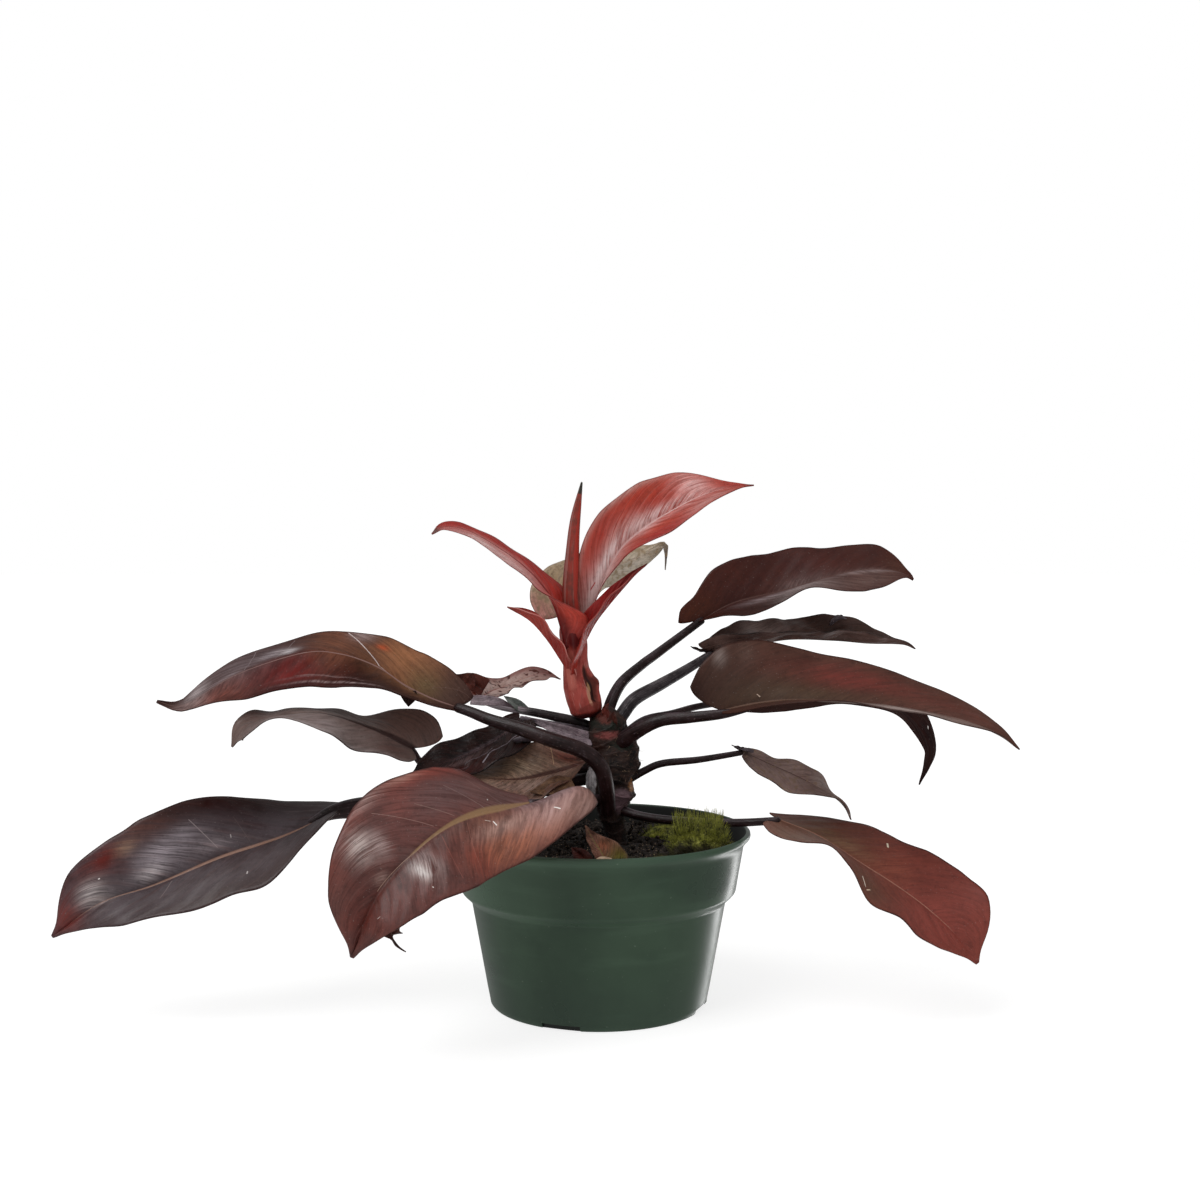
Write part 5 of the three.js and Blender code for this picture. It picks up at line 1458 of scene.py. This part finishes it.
# small torn bits and leftover sheath edges beside the blades
scrapDefaults = {"outline": "sheath", "rows": 26, "columns": 14, "wall": 0.4, "ripple": 0.3}
darkScrap = {
    "base": (58, 42, 40), "second": (44, 30, 30), "rib": (80, 60, 58), "bump": 0.8, "veinStrength": 0.05,
}
greyScrap = {
    "base": (136, 126, 132), "second": (84, 72, 76), "rib": (62, 50, 52), "bump": 0.8, "streak": 0.4,
    "veinStrength": 0.05,
}
paleScrap = {
    "base": (156, 144, 150), "second": (74, 62, 67), "rib": (70, 58, 62), "vein": (60, 50, 54), "bump": 0.8,
    "lit": 0.7, "streak": 0.6, "tooth": 0.5,
    "zones": [(0.5, 0.5, 0.6, 0.2, (70, 58, 62), 0.8, 0.9), (0.9, 0, 0.2, 2, (66, 56, 60), 0.8, 0.4)],
}
tanScrap = {
    "base": (158, 122, 94), "second": (84, 56, 44), "rib": (60, 40, 34), "bump": 1.0, "streak": 0.6,
    "tooth": 0.6,
}
redScrap = {
    "base": (116, 56, 48), "second": (66, 34, 30), "rib": (90, 44, 38), "bump": 0.8, "streak": 0.4,
    "tooth": 0.4,
}
scraps = {}
scraps["crumpledStub"] = {
    **darkScrap, "midrib": [[66, 30, 188], [60, 30, 189], [56, 30, 190], [51.5, 30, 191.8]],
    "left": wing([6, 3, 3, 4], 20), "right": wing([6, 3, 3, 3], -20),
}
scraps["crumpledFlap"] = {
    **greyScrap, "midrib": [[133, 52, 202], [136, 51, 205], [139, 50, 206.3], [142, 50, 206]],
    "left": wing([4, 5, 5, 4], 30), "right": wing([4, 4], 10),
}
scraps["wedgeStub"] = {
    **darkScrap, "midrib": [[-101, -20, 172], [-101, -20, 168], [-101, -20, 163.5]],
    "left": wing([5.5, 4.5, 3.5], 10), "right": wing([5.5, 3.5, 2.5], 10),
    "face": [0, -1, 0],
}
scraps["smallTearOne"] = {
    **greyScrap, "midrib": [[82, 2, 136.5], [77, 2, 138.4], [72.4, 2, 140]],
    "left": wing([2, 2, 1.5], 30), "right": wing([2, 1.5, 1], 10),
}
scraps["smallTearTwo"] = {
    **greyScrap, "midrib": [[84, 1, 136], [79, 0, 137.6], [76, 0, 138.6]],
    "left": wing([2, 2, 1], 60), "right": wing([2, 2, 1], 40),
}
scraps["spottedTear"] = {
    **darkScrap, "midrib": [[-64, 20, 168], [-70, 18, 172], [-76, 16, 174], [-82, 14, 178]],
    "left": wing([9, 8, 5, 3], 10), "right": wing([9, 6, 5, 2], 10),
    "face": [0, -1, 0.3], "crumple": 2.0, "base": (110, 62, 54), "second": (76, 44, 40),
}
scraps["spottedThorn"] = {
    **darkScrap, "midrib": [[-72, 17, 170], [-71, 17, 174], [-69.5, 17, 178]],
    "left": wing([4, 3, 2], 10), "right": wing([4, 3, 2], 10),
    "face": [0, -1, 0], "base": (110, 62, 54), "second": (76, 44, 40),
}
scraps["paleSheathEdge"] = {
    **paleScrap, "midrib": [[-70, 6, 164], [-62, 4, 164], [-54, 3, 163.4], [-46, 3, 160.5]],
    "left": wing([3.4, 3, 2.6, 2], 10), "right": wing([3.4, 3, 2.6, 2], 10),
    "face": [0, -1, 0.4],
}
scraps["paleSheathBand"] = {
    **paleScrap, "midrib": [[-3, -6, 144], [-14, -5, 146.5], [-26, -3, 150.5], [-40, -1, 156]],
    "left": wing([4.6, 4, 3, 2], 10), "right": wing([4.6, 4, 3, 2], 10),
    "face": [0, -1, 0.3],
}
scraps["greenishStub"] = {
    **greyScrap, "midrib": [[-40, 9, 158], [-46, 9, 162], [-52, 9, 166]],
    "left": wing([3, 3, 2], 10), "right": wing([3, 3, 2], 10),
    "face": [0, -1, 0.3], "lit": 0.8, "base": (128, 134, 130), "second": (70, 76, 72),
}
scraps["trunkSheathEdge"] = {
    **paleScrap, "midrib": [[-3, -14, 131], [-4, -14, 125], [-3.8, -14, 118], [-2.4, -14, 112]],
    "left": wing([2.2, 3.2, 3.4, 2.6], 30), "right": wing([2.2, 3.2, 3.4, 2.6], -30),
    "face": [0, -1, 0], "lit": 0.6, "base": (160, 158, 160), "second": (100, 96, 98),
}
scraps["tornSheathOne"] = {
    **tanScrap, "midrib": [[-14, -28, 125], [-21, -31, 123.5], [-28, -34, 122], [-36, -38, 121]],
    "left": wing([5, 6, 6, 4], 20), "right": wing([3, 5, 4, 3], -10),
    "face": [0, -1, 0.5], "crumple": 3.0,
}
scraps["tornSheathTwo"] = {
    **tanScrap, "midrib": [[-17, -28, 122], [-22, -31, 120], [-28, -34, 118]],
    "left": wing([2, 3, 3], 20), "right": wing([2, 3, 3], -20),
    "face": [0, -1, 0.2], "crumple": 2.4, "base": (120, 74, 58), "second": (60, 36, 30),
}
scraps["redScale"] = {
    **redScrap, "midrib": [[1, -7, 153.5], [3.5, -8, 157.5], [3.5, -8, 161], [5.5, -7, 164]],
    "left": wing([3, 3, 2, 2], 20), "right": wing([3, 3, 2, 2], 20),
    "face": [0, -1, 0.2], "crumple": 1.6,
}
scraps["redScaleLow"] = {
    **redScrap, "midrib": [[7, -8, 151], [7.5, -9, 155], [8, -8, 159.5]],
    "left": wing([3, 3], 20), "right": wing([3, 3, 2], 20),
    "face": [0, -1, 0.2], "crumple": 1.2, "base": (92, 56, 48),
}
scraps["fallenScale"] = {
    **redScrap, "midrib": [[-6, -58, 85], [-8, -56, 90], [-14, -54, 95]],
    "left": wing([5, 6, 4], 20), "right": wing([5, 4, 3], 0),
    "face": [0, -1, 0.3], "crumple": 2.0, "base": (96, 50, 42), "second": (56, 32, 28),
}
for seed, (leafName, leaf) in enumerate(blades.items()):
    makeLeaf(leafName + "_blade", leafName + "Skin", leaf, seed, leafName + "_leaf")
for seed, (leafName, leaf) in enumerate(sheaths.items(), len(blades)):
    makeLeaf(leafName + "_blade", leafName + "Skin", leaf, seed, leafName)
for seed, (scrapName, scrap) in enumerate(scraps.items(), 40):
    makeLeaf(scrapName, scrapName + "Skin", {**scrapDefaults, **scrap}, seed)
print("blades made")
